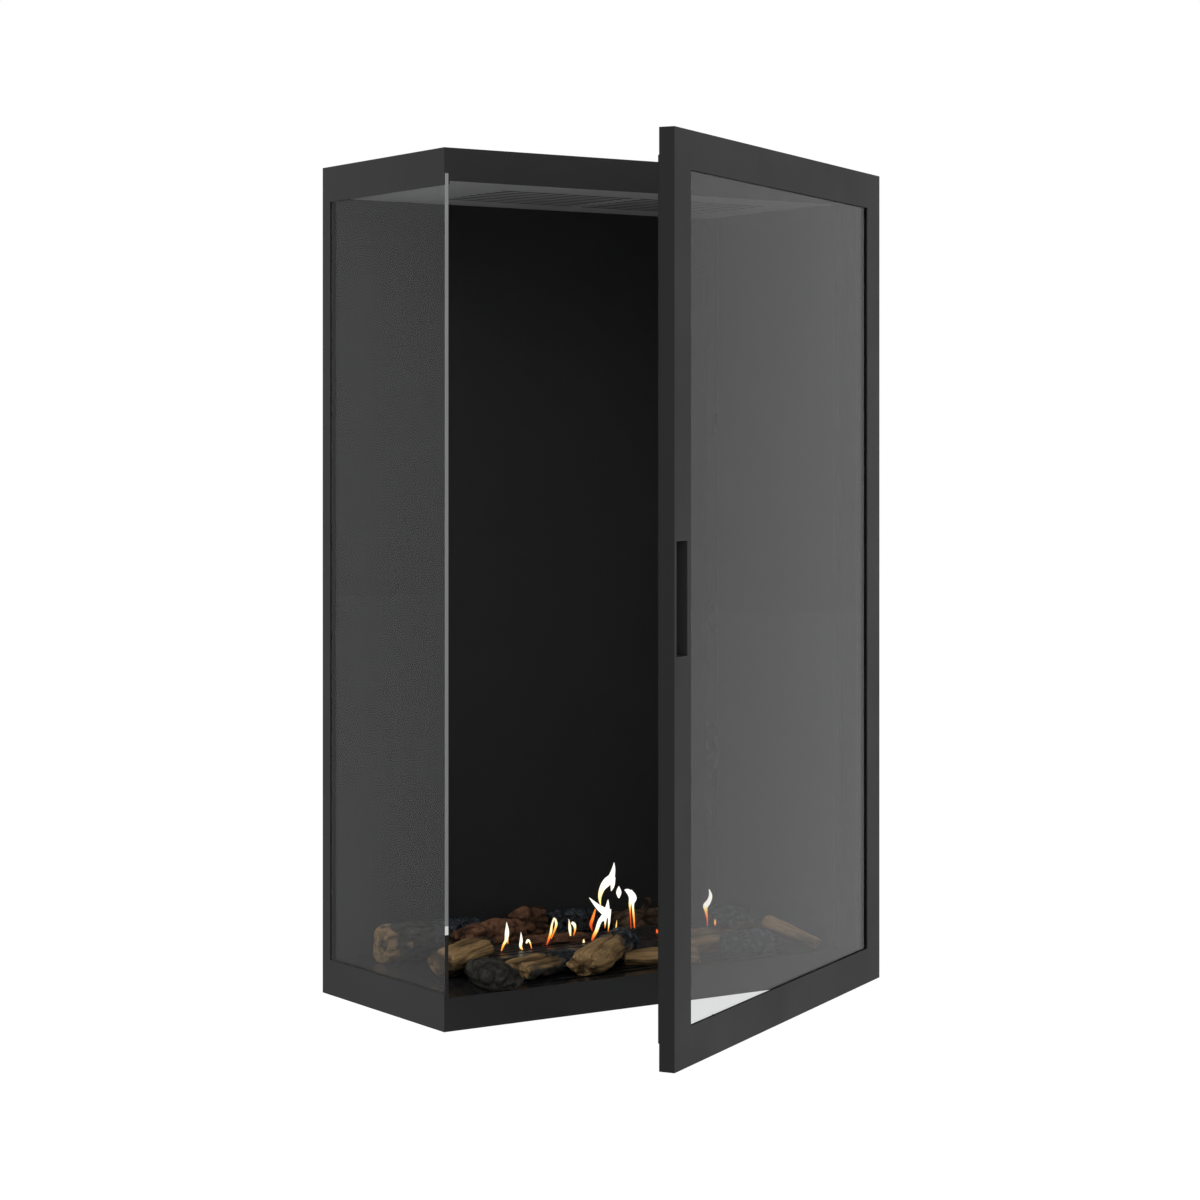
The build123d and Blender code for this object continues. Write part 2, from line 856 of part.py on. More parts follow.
with BuildPart() as door_glass:
    door_block(
        -half_width + glass_inset,
        half_width - glass_inset,
        -half_height + glass_inset,
        half_height - glass_inset,
        glass_back_depth,
        glass_front_depth,
    )
write(door_glass, "door_glass")

with BuildPart() as glass_tape:
    ring(glass_inset, tape_width, glass_front_depth, door_thickness - door_sheet)
write(glass_tape, "glass_tape")

# Glass retainers: screwed angle strips, the uprights full height and the level ones between them
retainer_outer_x = half_width - stile_box
retainer_outer_y = half_height - stile_box
leg_foot = glass_back_depth - retainer_leg
with BuildPart() as glass_retainers_upright:
    for side in (-1, 1):
        outer = side * retainer_outer_x
        leg = outer - side * retainer_sheet
        lip = outer - side * retainer_lip
        span_y = retainer_outer_y - retainer_end_gap
        door_block(min(outer, leg), max(outer, leg), -span_y, span_y, leg_foot, glass_back_depth)
        door_block(
            min(outer, lip),
            max(outer, lip),
            -span_y,
            span_y,
            glass_back_depth - retainer_sheet,
            glass_back_depth,
        )
    retainer_holes(True)
write(glass_retainers_upright, "glass_retainers_upright")

with BuildPart() as glass_retainers_level:
    for side in (-1, 1):
        outer = side * retainer_outer_y
        leg = outer - side * retainer_sheet
        lip = outer - side * retainer_lip
        span_x = retainer_outer_x - retainer_lip - retainer_end_gap
        door_block(-span_x, span_x, min(outer, leg), max(outer, leg), leg_foot, glass_back_depth)
        door_block(
            -span_x,
            span_x,
            min(outer, lip),
            max(outer, lip),
            glass_back_depth - retainer_sheet,
            glass_back_depth,
        )
    retainer_holes(False)
write(glass_retainers_level, "glass_retainers_level")

with BuildPart() as retainer_screws:
    for plane in retainer_screw_planes(True) + retainer_screw_planes(False):
        with BuildSketch(plane):
            Circle(retainer_head_radius)
        extrude(amount=retainer_head)
        with BuildSketch(plane):
            Circle(retainer_screw_radius)
        extrude(amount=-retainer_screw_length)
write(retainer_screws, "retainer_screws")

# Door seal: a flat rope ring on the rear face, over both bands, the glass edge and the post's gasket
door_left_closed = left + door_inset_left
seal_left = -half_width + seal_margin
seal_right = groove_left + seal_margin - door_left_closed - half_width + seal_width
seal_foot = -half_height + front_band - door_clearance - seal_margin - seal_width
with BuildPart() as door_seal:
    with BuildSketch(door_plane):
        with Locations(((seal_left + seal_right) / 2, 0)):
            Rectangle(seal_right - seal_left, -2 * seal_foot)
            Rectangle(
                seal_right - seal_left - 2 * seal_width,
                -2 * (seal_foot + seal_width),
                mode=Mode.SUBTRACT,
            )
    extrude(amount=-seal_thickness)
write(door_seal, "door_seal")

# Door pull: a cup let into the free stile
with BuildPart() as door_pull:
    door_block(
        pull_left,
        pull_right,
        -pull_half,
        pull_half,
        door_thickness - pull_depth - pull_wall,
        door_thickness,
    )
    front_face = door_pull.faces().filter_by(door_plane).sort_by(Axis(door_origin, door_z_dir))[-1]
    offset(amount=-pull_wall, openings=front_face)
write(door_pull, "door_pull")

with BuildPart() as door_magnets:
    with BuildSketch(door_plane.offset(-magnet_proud)):
        with Locations((magnet_x, magnet_y), (magnet_x, -magnet_y)):
            Circle(magnet_radius)
    extrude(amount=magnet_proud + magnet_depth)
write(door_magnets, "door_magnets")

# Hinge blocks: bored blocks in the hinge stile that turn on the pins
block_right = half_width - door_sheet
block_foot = -half_height + notch_height
with BuildPart() as hinge_blocks:
    for y0, y1 in (
        (block_foot, block_foot + hinge_block_height),
        (-block_foot - hinge_block_height, -block_foot),
    ):
        door_block(
            block_right - hinge_block_width,
            block_right,
            y0,
            y1,
            door_sheet,
            door_thickness - door_sheet,
        )
    with BuildSketch(Plane.XY):
        with Locations((pivot_x, pivot_y)):
            Circle(pin_radius + bore_clearance)
    extrude(amount=casing_height, mode=Mode.SUBTRACT)
write(hinge_blocks, "hinge_blocks")


# Logs: lofts through like polygons across the log's run, cut flat where they lie
def bark_section(half_wide, half_high, count, wander, seed):
    """An uneven round section, wider or higher than round as the half sizes say."""
    points = []
    for i in range(count):
        angle = 2 * pi * i / count
        reach = 1 + wander * sin(seed + 2.4 * i)
        points.append((half_wide * reach * cos(angle), half_high * reach * sin(angle)))
    return points


def split_section(half_wide, half_high, ridge, wander, seed):
    """A split log's section: flat faces that meet in a ridge, over a shallow bark side."""
    bark = []
    for i in range(5):
        angle = pi + pi * i / 4
        reach = 1 + wander * sin(seed + 1.9 * i)
        bark.append((half_wide * reach * cos(angle), 0.8 * half_high * reach * sin(angle)))
    return bark + [(half_wide * 0.9, half_high * 0.45), (ridge * half_wide, half_high)]


def lay_log(start, end, section, swell, seed, support=floor_height, stations=5):
    """Loft a log from start to end and cut it level where it rests."""
    run = Vector(*end) - Vector(*start)
    side = Vector(run.Y, -run.X, 0)
    faces = []
    for k in range(stations):
        share = k / (stations - 1)
        size = 1 + swell * sin(seed + 2.1 * k) - log_taper * (2 * share - 1) ** 4
        drift = log_bend * sin(seed * 1.7 + 1.3 * k)
        origin = Vector(*start) + run * share + side.normalized() * drift
        with BuildSketch(Plane(origin=origin, x_dir=side, z_dir=run)) as station:
            Polygon(*[(x * size, y * size) for x, y in section], align=None)
        faces.append(station.sketch)
    loft(faces, ruled=True)
    split(bisect_by=Plane.XY.offset(support), keep=Keep.TOP)


def bed(x, y, z):
    """A point of the fire bed, from the casing's left and front faces and up from the base."""
    return (left + x, front + y, z)


# The space that the burner takes, cut out of every log that can reach it
with BuildPart() as burner_room:
    with BuildSketch(Plane.XY.offset(floor_height)):
        with Locations((burner_middle_x, burner_middle_y)):
            Rectangle(burner_length + 2 * burner_flange, burner_width + 2 * burner_flange)
    extrude(amount=burner_wall)
    with BuildSketch(Plane.XY.offset(floor_height)):
        with Locations((burner_middle_x, burner_middle_y)):
            Rectangle(cover_length, cover_width)
    extrude(amount=cover_top - floor_height)

with BuildPart() as log_rear_left:
    lay_log(bed(62, 262, 60), bed(210, 265, 60), bark_section(24, 27, 9, 0.08, 0.4), 0.05, 1.0)
write(log_rear_left, "log_rear_left")

with BuildPart() as log_bark_left:
    lay_log(bed(148, 212, 60), bed(252, 236, 60), bark_section(22, 25, 9, 0.10, 1.9), 0.06, 2.2)
    add(log_rear_left.part, mode=Mode.SUBTRACT)
    add(burner_room.part, mode=Mode.SUBTRACT)
write(log_bark_left, "log_bark_left")

with BuildPart() as log_bark_rear:
    lay_log(bed(264, 262, 64), bed(309, 262, 65), bark_section(22, 27, 9, 0.09, 3.1), 0.04, 0.5)
    add(log_bark_left.part, mode=Mode.SUBTRACT)
write(log_bark_rear, "log_bark_rear")

with BuildPart() as log_front_left:
    lay_log(bed(66, 116, 60), bed(158, 160, 64), split_section(24, 24, -0.3, 0.06, 0.9), 0.05, 3.0)
    add(burner_room.part, mode=Mode.SUBTRACT)
write(log_front_left, "log_front_left")

with BuildPart() as log_front_dark:
    lay_log(bed(92, 12, 50), bed(112, 104, 50), bark_section(27, 19, 8, 0.10, 2.6), 0.05, 1.4)
    add(burner_room.part, mode=Mode.SUBTRACT)
    add(log_front_left.part, mode=Mode.SUBTRACT)
write(log_front_dark, "log_front_dark")

with BuildPart() as log_front_centre:
    lay_log(bed(140, 60, 50), bed(246, 94, 50), split_section(24, 18, -0.5, 0.07, 1.2), 0.05, 2.0)
    add(burner_room.part, mode=Mode.SUBTRACT)
    add(log_front_dark.part, mode=Mode.SUBTRACT)
write(log_front_centre, "log_front_centre")

with BuildPart() as log_leaning:
    lay_log(bed(224, 40, 52), bed(344, 118, 66), split_section(25, 20, -0.2, 0.08, 2.7), 0.06, 0.2)
    add(burner_room.part, mode=Mode.SUBTRACT)
    add(log_front_centre.part, mode=Mode.SUBTRACT)
write(log_leaning, "log_leaning")

with BuildPart() as log_right_split:
    lay_log(bed(316, 84, 46), bed(404, 44, 46), split_section(20, 14, 0.3, 0.06, 0.3), 0.05, 1.1)
    add(burner_room.part, mode=Mode.SUBTRACT)
    add(log_leaning.part, mode=Mode.SUBTRACT)
write(log_right_split, "log_right_split")

with BuildPart() as log_bark_board:
    lay_log(bed(226, 182, 61), bed(316, 170, 61), split_section(20, 9, 0.2, 0.05, 1.7), 0.04, 2.9, cover_top)
    add(log_bark_left.part, mode=Mode.SUBTRACT)
write(log_bark_board, "log_bark_board")

with BuildPart() as log_rear_charred:
    lay_log(bed(318, 262, 58), bed(404, 262, 57), bark_section(22, 24, 9, 0.10, 0.8), 0.06, 1.6)
    add(log_bark_rear.part, mode=Mode.SUBTRACT)
write(log_rear_charred, "log_rear_charred")

with BuildPart() as log_rear_right:
    lay_log(bed(412, 260, 54), bed(522, 252, 52), bark_section(22, 21, 9, 0.09, 2.0), 0.05, 0.9)
    stub_foot = Vector(*bed(474, 258, 56))
    stub_lean = Vector(0.15, 0.1, 1.0)
    with BuildSketch(Plane(origin=stub_foot, z_dir=stub_lean)):
        RegularPolygon(9, 7)
    with BuildSketch(Plane(origin=stub_foot + stub_lean * 30, z_dir=stub_lean)):
        RegularPolygon(6, 7)
    loft(ruled=True)
    add(log_rear_charred.part, mode=Mode.SUBTRACT)
write(log_rear_right, "log_rear_right")

with BuildPart() as log_block:
    lay_log(bed(404, 100, 54), bed(492, 96, 54), split_section(18, 20, 0.1, 0.05, 3.4), 0.03, 2.4)
    add(burner_room.part, mode=Mode.SUBTRACT)
    add(log_right_split.part, mode=Mode.SUBTRACT)
write(log_block, "log_block")

with BuildPart() as log_front_right:
    lay_log(bed(454, 58, 52), bed(516, 36, 52), bark_section(18, 18, 8, 0.10, 1.1), 0.06, 0.6)
    add(log_block.part, mode=Mode.SUBTRACT)
write(log_front_right, "log_front_right")

with BuildPart() as log_right_bark:
    lay_log(bed(512, 116, 53), bed(592, 98, 52), bark_section(17, 17, 8, 0.08, 2.9), 0.05, 1.9)
    add(burner_room.part, mode=Mode.SUBTRACT)
    add(log_block.part, mode=Mode.SUBTRACT)
    add(right_liner.part, mode=Mode.SUBTRACT)
write(log_right_bark, "log_right_bark")

with BuildPart() as log_corner_slab:
    lay_log(bed(550, 88, 68), bed(590, 30, 45), split_section(15, 9, 0.2, 0.05, 0.5), 0.04, 2.5)
    add(log_right_bark.part, mode=Mode.SUBTRACT)
    add(right_liner.part, mode=Mode.SUBTRACT)
write(log_corner_slab, "log_corner_slab")

# Charcoal: one group of broken lumps among the logs
with BuildPart() as charcoal_chunks:
    lay_log(bed(530, 196, 58), bed(586, 172, 58), bark_section(20, 23, 7, 0.14, 1.3), 0.08, 0.7, stations=4)
    add(burner_room.part, mode=Mode.SUBTRACT)
    add(log_rear_right.part, mode=Mode.SUBTRACT)
    add(right_liner.part, mode=Mode.SUBTRACT)
write(charcoal_chunks, "charcoal_chunks")
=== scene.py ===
"""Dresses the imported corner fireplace: painted steel, glass, a painted ceramic log bed and its flames.

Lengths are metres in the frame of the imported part. The log bed's own numbers are millimetres, from the
casing's left and front faces and up from its base, as the part's source gives them.
"""
from __future__ import annotations

import logging
import math
from dataclasses import dataclass, field
from enum import Enum
from typing import Any

import bpy
import bmesh
from mathutils import Matrix, Vector, noise

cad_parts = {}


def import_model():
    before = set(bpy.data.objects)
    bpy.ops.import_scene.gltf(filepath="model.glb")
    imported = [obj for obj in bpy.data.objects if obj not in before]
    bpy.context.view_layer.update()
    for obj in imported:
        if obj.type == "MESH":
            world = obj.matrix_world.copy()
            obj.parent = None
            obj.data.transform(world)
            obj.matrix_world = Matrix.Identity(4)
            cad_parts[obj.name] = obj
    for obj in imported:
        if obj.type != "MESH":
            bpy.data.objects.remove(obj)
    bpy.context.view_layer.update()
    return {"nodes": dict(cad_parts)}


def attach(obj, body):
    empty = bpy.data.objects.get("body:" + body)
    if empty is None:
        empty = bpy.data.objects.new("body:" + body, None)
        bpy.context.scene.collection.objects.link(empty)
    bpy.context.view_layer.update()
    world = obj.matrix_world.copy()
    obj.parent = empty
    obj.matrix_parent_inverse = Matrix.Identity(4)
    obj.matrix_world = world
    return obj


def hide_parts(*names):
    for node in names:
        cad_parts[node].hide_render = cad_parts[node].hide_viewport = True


LOG = logging.getLogger("corner_fireplace")
MILLIMETRE = 0.001
CASING_WIDTH = 653.0
CASING_DEPTH = 305.0
DOOR_OPEN = 30.0
Colour = tuple[float, float, float]
Point = tuple[float, float, float]
Shade = tuple[float, float, float, float]

# Points nearer than this, in metres, are one. A screw's rim is what lies past this share of its girth,
# and its shank starts this far under its seat.
MERGE = 1e-6
RIM_SHARE = 0.97
BELOW_SEAT = 1e-4

# A screw's faces round its head, drive and shank, and the drive's girth and lift as shares of the head.
HEAD_SIDES, RECESS_SIDES, SHANK_SIDES = 24, 6, 16
RECESS_SHARE = 0.45
RECESS_LIFT = 0.9

# The softness, in metres, of the edge of the painted shade in the ceiling's slots, and how far roughness
# swings from its mean.
SHADE_EDGE = 0.0001
ROUGHNESS_SWING = 0.12

# A flame's divisions along and around, its least half width in millimetres, its depth as a share of its
# width, and how far up it has its full heat.
FLAME_STEPS = 6
FLAME_SIDES = 14
THINNEST_FLAME = 0.05
FLATNESS = 0.55
HOT_FROM = 0.7

# How deep each form of a log's surface is, in metres.
GROOVE, CREVICE, LEDGE = 0.0008, 0.0018, 0.0012
KNOB, PLATE, BARK_SUNK = 0.0017, 0.0024, 0.0018
COAL_CELL, COAL_GRAIN, COAL_SUNK = 0.0024, 0.0013, 0.0016
SWELL = 0.0030
END_FIBRE = 0.0024
FULL_RELIEF = 0.0022

# How often each form comes, per metre: along the log and across it, or the same all ways.
GROOVE_RATE, LEDGE_RATE = (9, 120), (11, 62)
PLATE_RATE, KNOB_RATE, COAL_RATE = (34, 62), (60, 95), (70, 95)
GRIT_RATE, SWELL_RATE, END_RATE = 190, 30, 160

# Below this height a log rests on the floor or the burner, and keeps this share of its relief.
RESTING_HEIGHT = 0.0395
RESTING_SHARE = 0.15

# A face that points along a log by more than this is one of its ends.
END_FACING = 0.6

# How far the edges of bark and char wander along a log, as a share of it, and how often per metre.
RAGGED = 0.16
RAGGED_RATE = 70


def bed(x: float, y: float, z: float) -> Vector:
    """Turn a point of the fire bed into the part's frame.

    Args:
        x: Millimetres from the casing's left face.
        y: Millimetres from its front face.
        z: Millimetres above its underside.

    Returns:
        The point in metres.
    """
    return Vector((x - CASING_WIDTH / 2, y - CASING_DEPTH / 2, z)) * MILLIMETRE


def smooth(low: float, high: float, value: float) -> float:
    """Rise smoothly from 0 at low to 1 at high.

    Args:
        low: Where the rise starts.
        high: Where it ends.
        value: The value to place.

    Returns:
        A share from 0 to 1.
    """
    share = min(1.0, max(0.0, (value - low) / (high - low)))
    return share * share * (3 - 2 * share)


def drawn_out(place: Vector, along: float, across: float) -> Vector:
    """Scale a point by one number along a log and by another across it."""
    return Vector((place.x * along, place.y * across, place.z * across))


class Paint(Enum):
    """The colours of the logs' paint and the ash, before light, and the near black of the painted shade in
    the ceiling's slots.
    """

    TAN = (0.30, 0.19, 0.088)
    BROWN = (0.085, 0.054, 0.034)
    RUSSET = (0.125, 0.060, 0.034)
    EARTH = (0.042, 0.039, 0.033)
    CHAR = (0.018, 0.023, 0.028)
    ASH = (0.115, 0.118, 0.115)
    SLOT_SHADE = (0.012, 0.012, 0.012)

    def shade(self, times: float = 1.0) -> Shade:
        """Give the paint darker or lighter, with a full alpha."""
        return (*[part * times for part in self.value], 1.0)


class Pattern(Enum):
    """How a log's surface is broken up."""

    SPLIT = "split"
    BARK = "bark"
    CHAR = "char"


class NodeBench:
    """A shader node tree under construction."""

    prefix: str = "ShaderNode"

    def __init__(self, tree: bpy.types.NodeTree) -> None:
        """Work on a tree."""
        self.tree = tree

    def feed(self, socket: bpy.types.NodeSocket, value: Any) -> None:
        """Link an input to another node's socket, or set it to a plain value.

        Args:
            socket: The input.
            value: A socket or a plain value.
        """
        if isinstance(value, bpy.types.NodeSocket):
            self.tree.links.new(value, socket)
        else:
            socket.default_value = value

    def fill(self, node: bpy.types.Node, **settings: Any) -> None:
        """Set a node's properties and feed its inputs by name.

        Args:
            node: The node.
            settings: Property names, or input names with spaces written as underscores.
        """
        for key, value in settings.items():
            if hasattr(node, key):
                setattr(node, key, value)
            else:
                self.feed(node.inputs[key.replace("_", " ")], value)

    def node(self, kind: str, **settings: Any) -> bpy.types.Node:
        """Add a node and fill it.

        Args:
            kind: The node's type, with or without the bench's own prefix.
            settings: What fill takes.

        Returns:
            The new node.
        """
        known = kind.startswith(("ShaderNode", "FunctionNode"))
        made = self.tree.nodes.new(kind if known else self.prefix + kind)
        self.fill(made, **settings)
        return made

    def calc(self, operation: str, first: Any, second: Any, clamp: bool = False) -> bpy.types.NodeSocket:
        """Work out one value from two.

        Args:
            operation: The Math node's operation.
            first: A socket or number.
            second: A socket or number.
            clamp: Whether the result is held from 0 to 1.

        Returns:
            The result.
        """
        made = self.node("ShaderNodeMath", operation=operation, use_clamp=clamp)
        self.feed(made.inputs[0], first)
        self.feed(made.inputs[1], second)
        return made.outputs[0]

    def spread(
        self, value: Any, low: float, high: float, start: float = 0.0, end: float = 1.0
    ) -> bpy.types.NodeSocket:
        """Map a range of values to another, held at its ends.

        Args:
            value: The socket to map.
            low: The value that becomes start.
            high: The value that becomes end.
            start: The first result.
            end: The last result.

        Returns:
            The mapped value.
        """
        limits = {"From_Min": low, "From_Max": high, "To_Min": start, "To_Max": end}
        return self.node("MapRange", Value=value, **limits).outputs["Result"]

    def mix(self, share: Any, first: Any, second: Any, how: str = "MIX") -> bpy.types.NodeSocket:
        """Mix two colours.

        Args:
            share: How much of the second, from 0 to 1.
            first: A socket or colour.
            second: A socket or colour.
            how: The way they mix.

        Returns:
            The mixed colour.
        """
        return self.node("MixRGB", blend_type=how, Fac=share, Color1=first, Color2=second).outputs["Color"]

    def ramp(self, share: Any, *stops: tuple[float, Shade], steps: bool = False) -> bpy.types.NodeSocket:
        """Turn a value into a colour.

        Args:
            share: The value, from 0 to 1.
            stops: Each place and its colour, in order.
            steps: Whether each colour holds until the next.

        Returns:
            The colour.
        """
        made = self.node("ValToRGB", Fac=share)
        made.color_ramp.interpolation = "CONSTANT" if steps else "LINEAR"
        points = made.color_ramp.elements
        points[0].position, points[0].color = stops[0]
        points[1].position, points[1].color = stops[-1]
        for place, colour in stops[1:-1]:
            points.new(place).color = colour
        return made.outputs["Color"]

    def blend(self, share: Any, first: Any, second: Any) -> bpy.types.NodeSocket:
        """Mix two shaders.

        Args:
            share: How much of the second, from 0 to 1.
            first: The first shader.
            second: The second shader.

        Returns:
            The mixed shader.
        """
        made = self.node("MixShader", Fac=share)
        self.feed(made.inputs[1], first)
        self.feed(made.inputs[2], second)
        return made.outputs[0]

    def rays(self, *kinds: str) -> bpy.types.NodeSocket:
        """Tell rays of the named kinds from the rest.

        Args:
            kinds: The Light Path node's outputs.

        Returns:
            1 for a ray of any of these kinds, and 0 for another.
        """
        path = self.node("LightPath")
        share = path.outputs[kinds[0]]
        for kind in kinds[1:]:
            share = self.calc("MAXIMUM", share, path.outputs[kind])
        return share


class GeometryBench(NodeBench):
    """A geometry node tree under construction."""

    prefix: str = "GeometryNode"


class ShaderSheet(NodeBench):
    """A material under construction: its nodes, its main shader and its output."""

    def __init__(self, name: str) -> None:
        """Start an empty node material.

        Args:
            name: The material's name.
        """
        self.material = bpy.data.materials.new(name)
        self.material.use_nodes = True
        super().__init__(self.material.node_tree)
        self.tree.nodes.clear()
        self.output = self.node("OutputMaterial")
        self.main = self.node("BsdfPrincipled")
        self.show(self.main.outputs["BSDF"])

    def show(self, shader: bpy.types.NodeSocket) -> None:
        """Make a shader the one that is seen."""
        self.feed(self.output.inputs["Surface"], shader)

    def coat(self, colour: Any, roughness: Any, **sockets: Any) -> None:
        """Feed the main shader.

        Args:
            colour: The base colour, or the socket that gives it.
            roughness: The roughness, or the socket that gives it.
            sockets: Other inputs, with spaces written as underscores.
        """
        self.fill(self.main, Base_Color=colour, Roughness=roughness, **sockets)

    def place(self) -> bpy.types.NodeSocket:
        """Give the object's own coordinates."""
        return self.node("TexCoord").outputs["Object"]

    def stored(self, name: str, output: str = "Fac") -> bpy.types.NodeSocket:
        """Give what the mesh stores under a name."""
        return self.node("Attribute", attribute_name=name).outputs[output]

    def group(self, tree: bpy.types.ShaderNodeTree, **settings: Any) -> bpy.types.Node:
        """Place one of the shared groups, on the object's own coordinates."""
        return self.node("Group", node_tree=tree, Vector=self.place(), **settings)

    def relief(self, height: bpy.types.NodeSocket, distance: float) -> None:
        """Bump the main shader's surface by a height.

        Args:
            height: The socket that gives the height from 0 to 1.
            distance: How deep a full step is, in metres.
        """
        bump = self.node("Bump", Distance=distance, Strength=1.0, Height=height)
        self.feed(self.main.inputs["Normal"], bump.outputs["Normal"])


def new_group(
    name: str, inputs: dict[str, tuple[str, Any]], outputs: dict[str, str], bench: type[NodeBench] = NodeBench
) -> tuple[NodeBench, bpy.types.NodeOutputs, bpy.types.NodeInputs]:
    """Make an empty node group with named sockets.

    Args:
        name: The group's name.
        inputs: Input names, each with its socket kind and default value.
        outputs: Output names, each with its socket kind.
        bench: The kind of bench that the group is built on.

    Returns:
        The group's bench, what it is given, and what it has to feed.
    """
    tree = bpy.data.node_groups.new(name, bench.prefix + "Tree")
    for label, (kind, value) in inputs.items():
        socket = tree.interface.new_socket(label, in_out="INPUT", socket_type="NodeSocket" + kind)
        if value is not None:
            socket.default_value = value
    for label, kind in outputs.items():
        tree.interface.new_socket(label, in_out="OUTPUT", socket_type="NodeSocket" + kind)
    start, end = tree.nodes.new("NodeGroupInput"), tree.nodes.new("NodeGroupOutput")
    return bench(tree), start.outputs, end.inputs


class Effects:
    """The shader node groups that several finishes share."""

    def __init__(self) -> None:
        """Build each group once."""
        self.mottle = self._mottle()
        self.dust = self._dust()

    @staticmethod
    def _mottle() -> bpy.types.ShaderNodeTree:
        """Build the group that mottles a colour and puts out a fine height.

        Returns:
            The group: soft patches on the colour, and grain as a height.
        """
        group, given, result = new_group(
            "mottle",
            {
                "Vector": ("Vector", None),
                "Colour": ("Color", (0.5, 0.5, 0.5, 1.0)),
                "Patch Scale": ("Float", 6.0),
                "Grain Scale": ("Float", 900.0),
                "Amount": ("Float", 0.15),
            },
            {"Colour": "Color", "Height": "Float", "Mask": "Float"},
        )
        place = given["Vector"]
        patch = group.node("TexNoise", Vector=place, Scale=given["Patch Scale"], Detail=4.0, Roughness=0.6)
        grain = group.node("TexNoise", Vector=place, Scale=given["Grain Scale"], Detail=2.0, Roughness=0.5)
        depth = group.calc("MULTIPLY", group.spread(patch.outputs["Fac"], 0.3, 0.7, -1.0), given["Amount"])
        shade = group.node("HueSaturation", Value=group.calc("ADD", depth, 1.0), Color=given["Colour"])
        group.feed(result["Colour"], shade.outputs["Color"])
        group.feed(result["Height"], grain.outputs["Fac"])
        group.feed(result["Mask"], patch.outputs["Fac"])
        return group.tree

    @staticmethod
    def _dust() -> bpy.types.ShaderNodeTree:
        """Build the group that lays ash dust on what faces up.

        Returns:
            The group: a mask from the surface's own direction and a noise.
        """
        group, given, result = new_group(
            "dust",
            {"Vector": ("Vector", None), "Scale": ("Float", 40.0), "Amount": ("Float", 0.3)},
            {"Mask": "Float"},
        )
        parts = group.node("SeparateXYZ", Vector=group.node("NewGeometry").outputs["Normal"])
        cloud = group.node("TexNoise", Vector=given["Vector"], Scale=given["Scale"], Detail=5.0)
        level = group.spread(parts.outputs["Z"], 0.3, 0.95)
        both = group.calc("MULTIPLY", level, group.spread(cloud.outputs["Fac"], 0.42, 0.68))
        group.feed(result["Mask"], group.calc("MULTIPLY", both, given["Amount"]))
        return group.tree


@dataclass(frozen=True)
class SheetFinish:
    """A painted or bare metal finish with a fine grain and soft patches.

    Above a given height, where there is one, it is painted near black as painted shade on the blades inside
    the ceiling's slots.
    """

    name: str
    colour: Colour
    roughness: float
    metallic: float = 0.0
    specular: float = 0.22
    grain: float = 1100.0
    grain_depth: float = 0.00004
    patch: float = 5.0
    amount: float = 0.06
    dust: float = 0.0
    shaded_above: float | None = None

    def material(self, effects: Effects) -> bpy.types.Material:
        """Make the material.

        Args:
            effects: The shared groups.

        Returns:
            The finished material.
        """
        sheet = ShaderSheet(self.name)
        settings = {"Patch_Scale": self.patch, "Grain_Scale": self.grain, "Amount": self.amount}
        mottle = sheet.group(effects.mottle, Colour=(*self.colour, 1.0), **settings)
        colour = mottle.outputs["Colour"]
        if self.dust:
            dust = sheet.group(effects.dust, Amount=self.dust)
            colour = sheet.mix(dust.outputs["Mask"], colour, Paint.ASH.shade())
        # Painted shade: all above the given height, the blades in the ceiling's slots, is painted near black.
        if self.shaded_above is not None:
            height = sheet.node("SeparateXYZ", Vector=sheet.place()).outputs["Z"]
            slot_shade = sheet.spread(height, self.shaded_above, self.shaded_above + SHADE_EDGE)
            colour = sheet.mix(slot_shade, colour, Paint.SLOT_SHADE.shade())
        scaled, dull = self.roughness * (1 - ROUGHNESS_SWING), self.roughness * (1 + ROUGHNESS_SWING)
        rough = sheet.spread(mottle.outputs["Mask"], 0.3, 0.7, scaled, min(1.0, dull))
        sheet.coat(colour, rough, Metallic=self.metallic, Specular_IOR_Level=self.specular)
        sheet.relief(mottle.outputs["Height"], self.grain_depth)
        return sheet.material


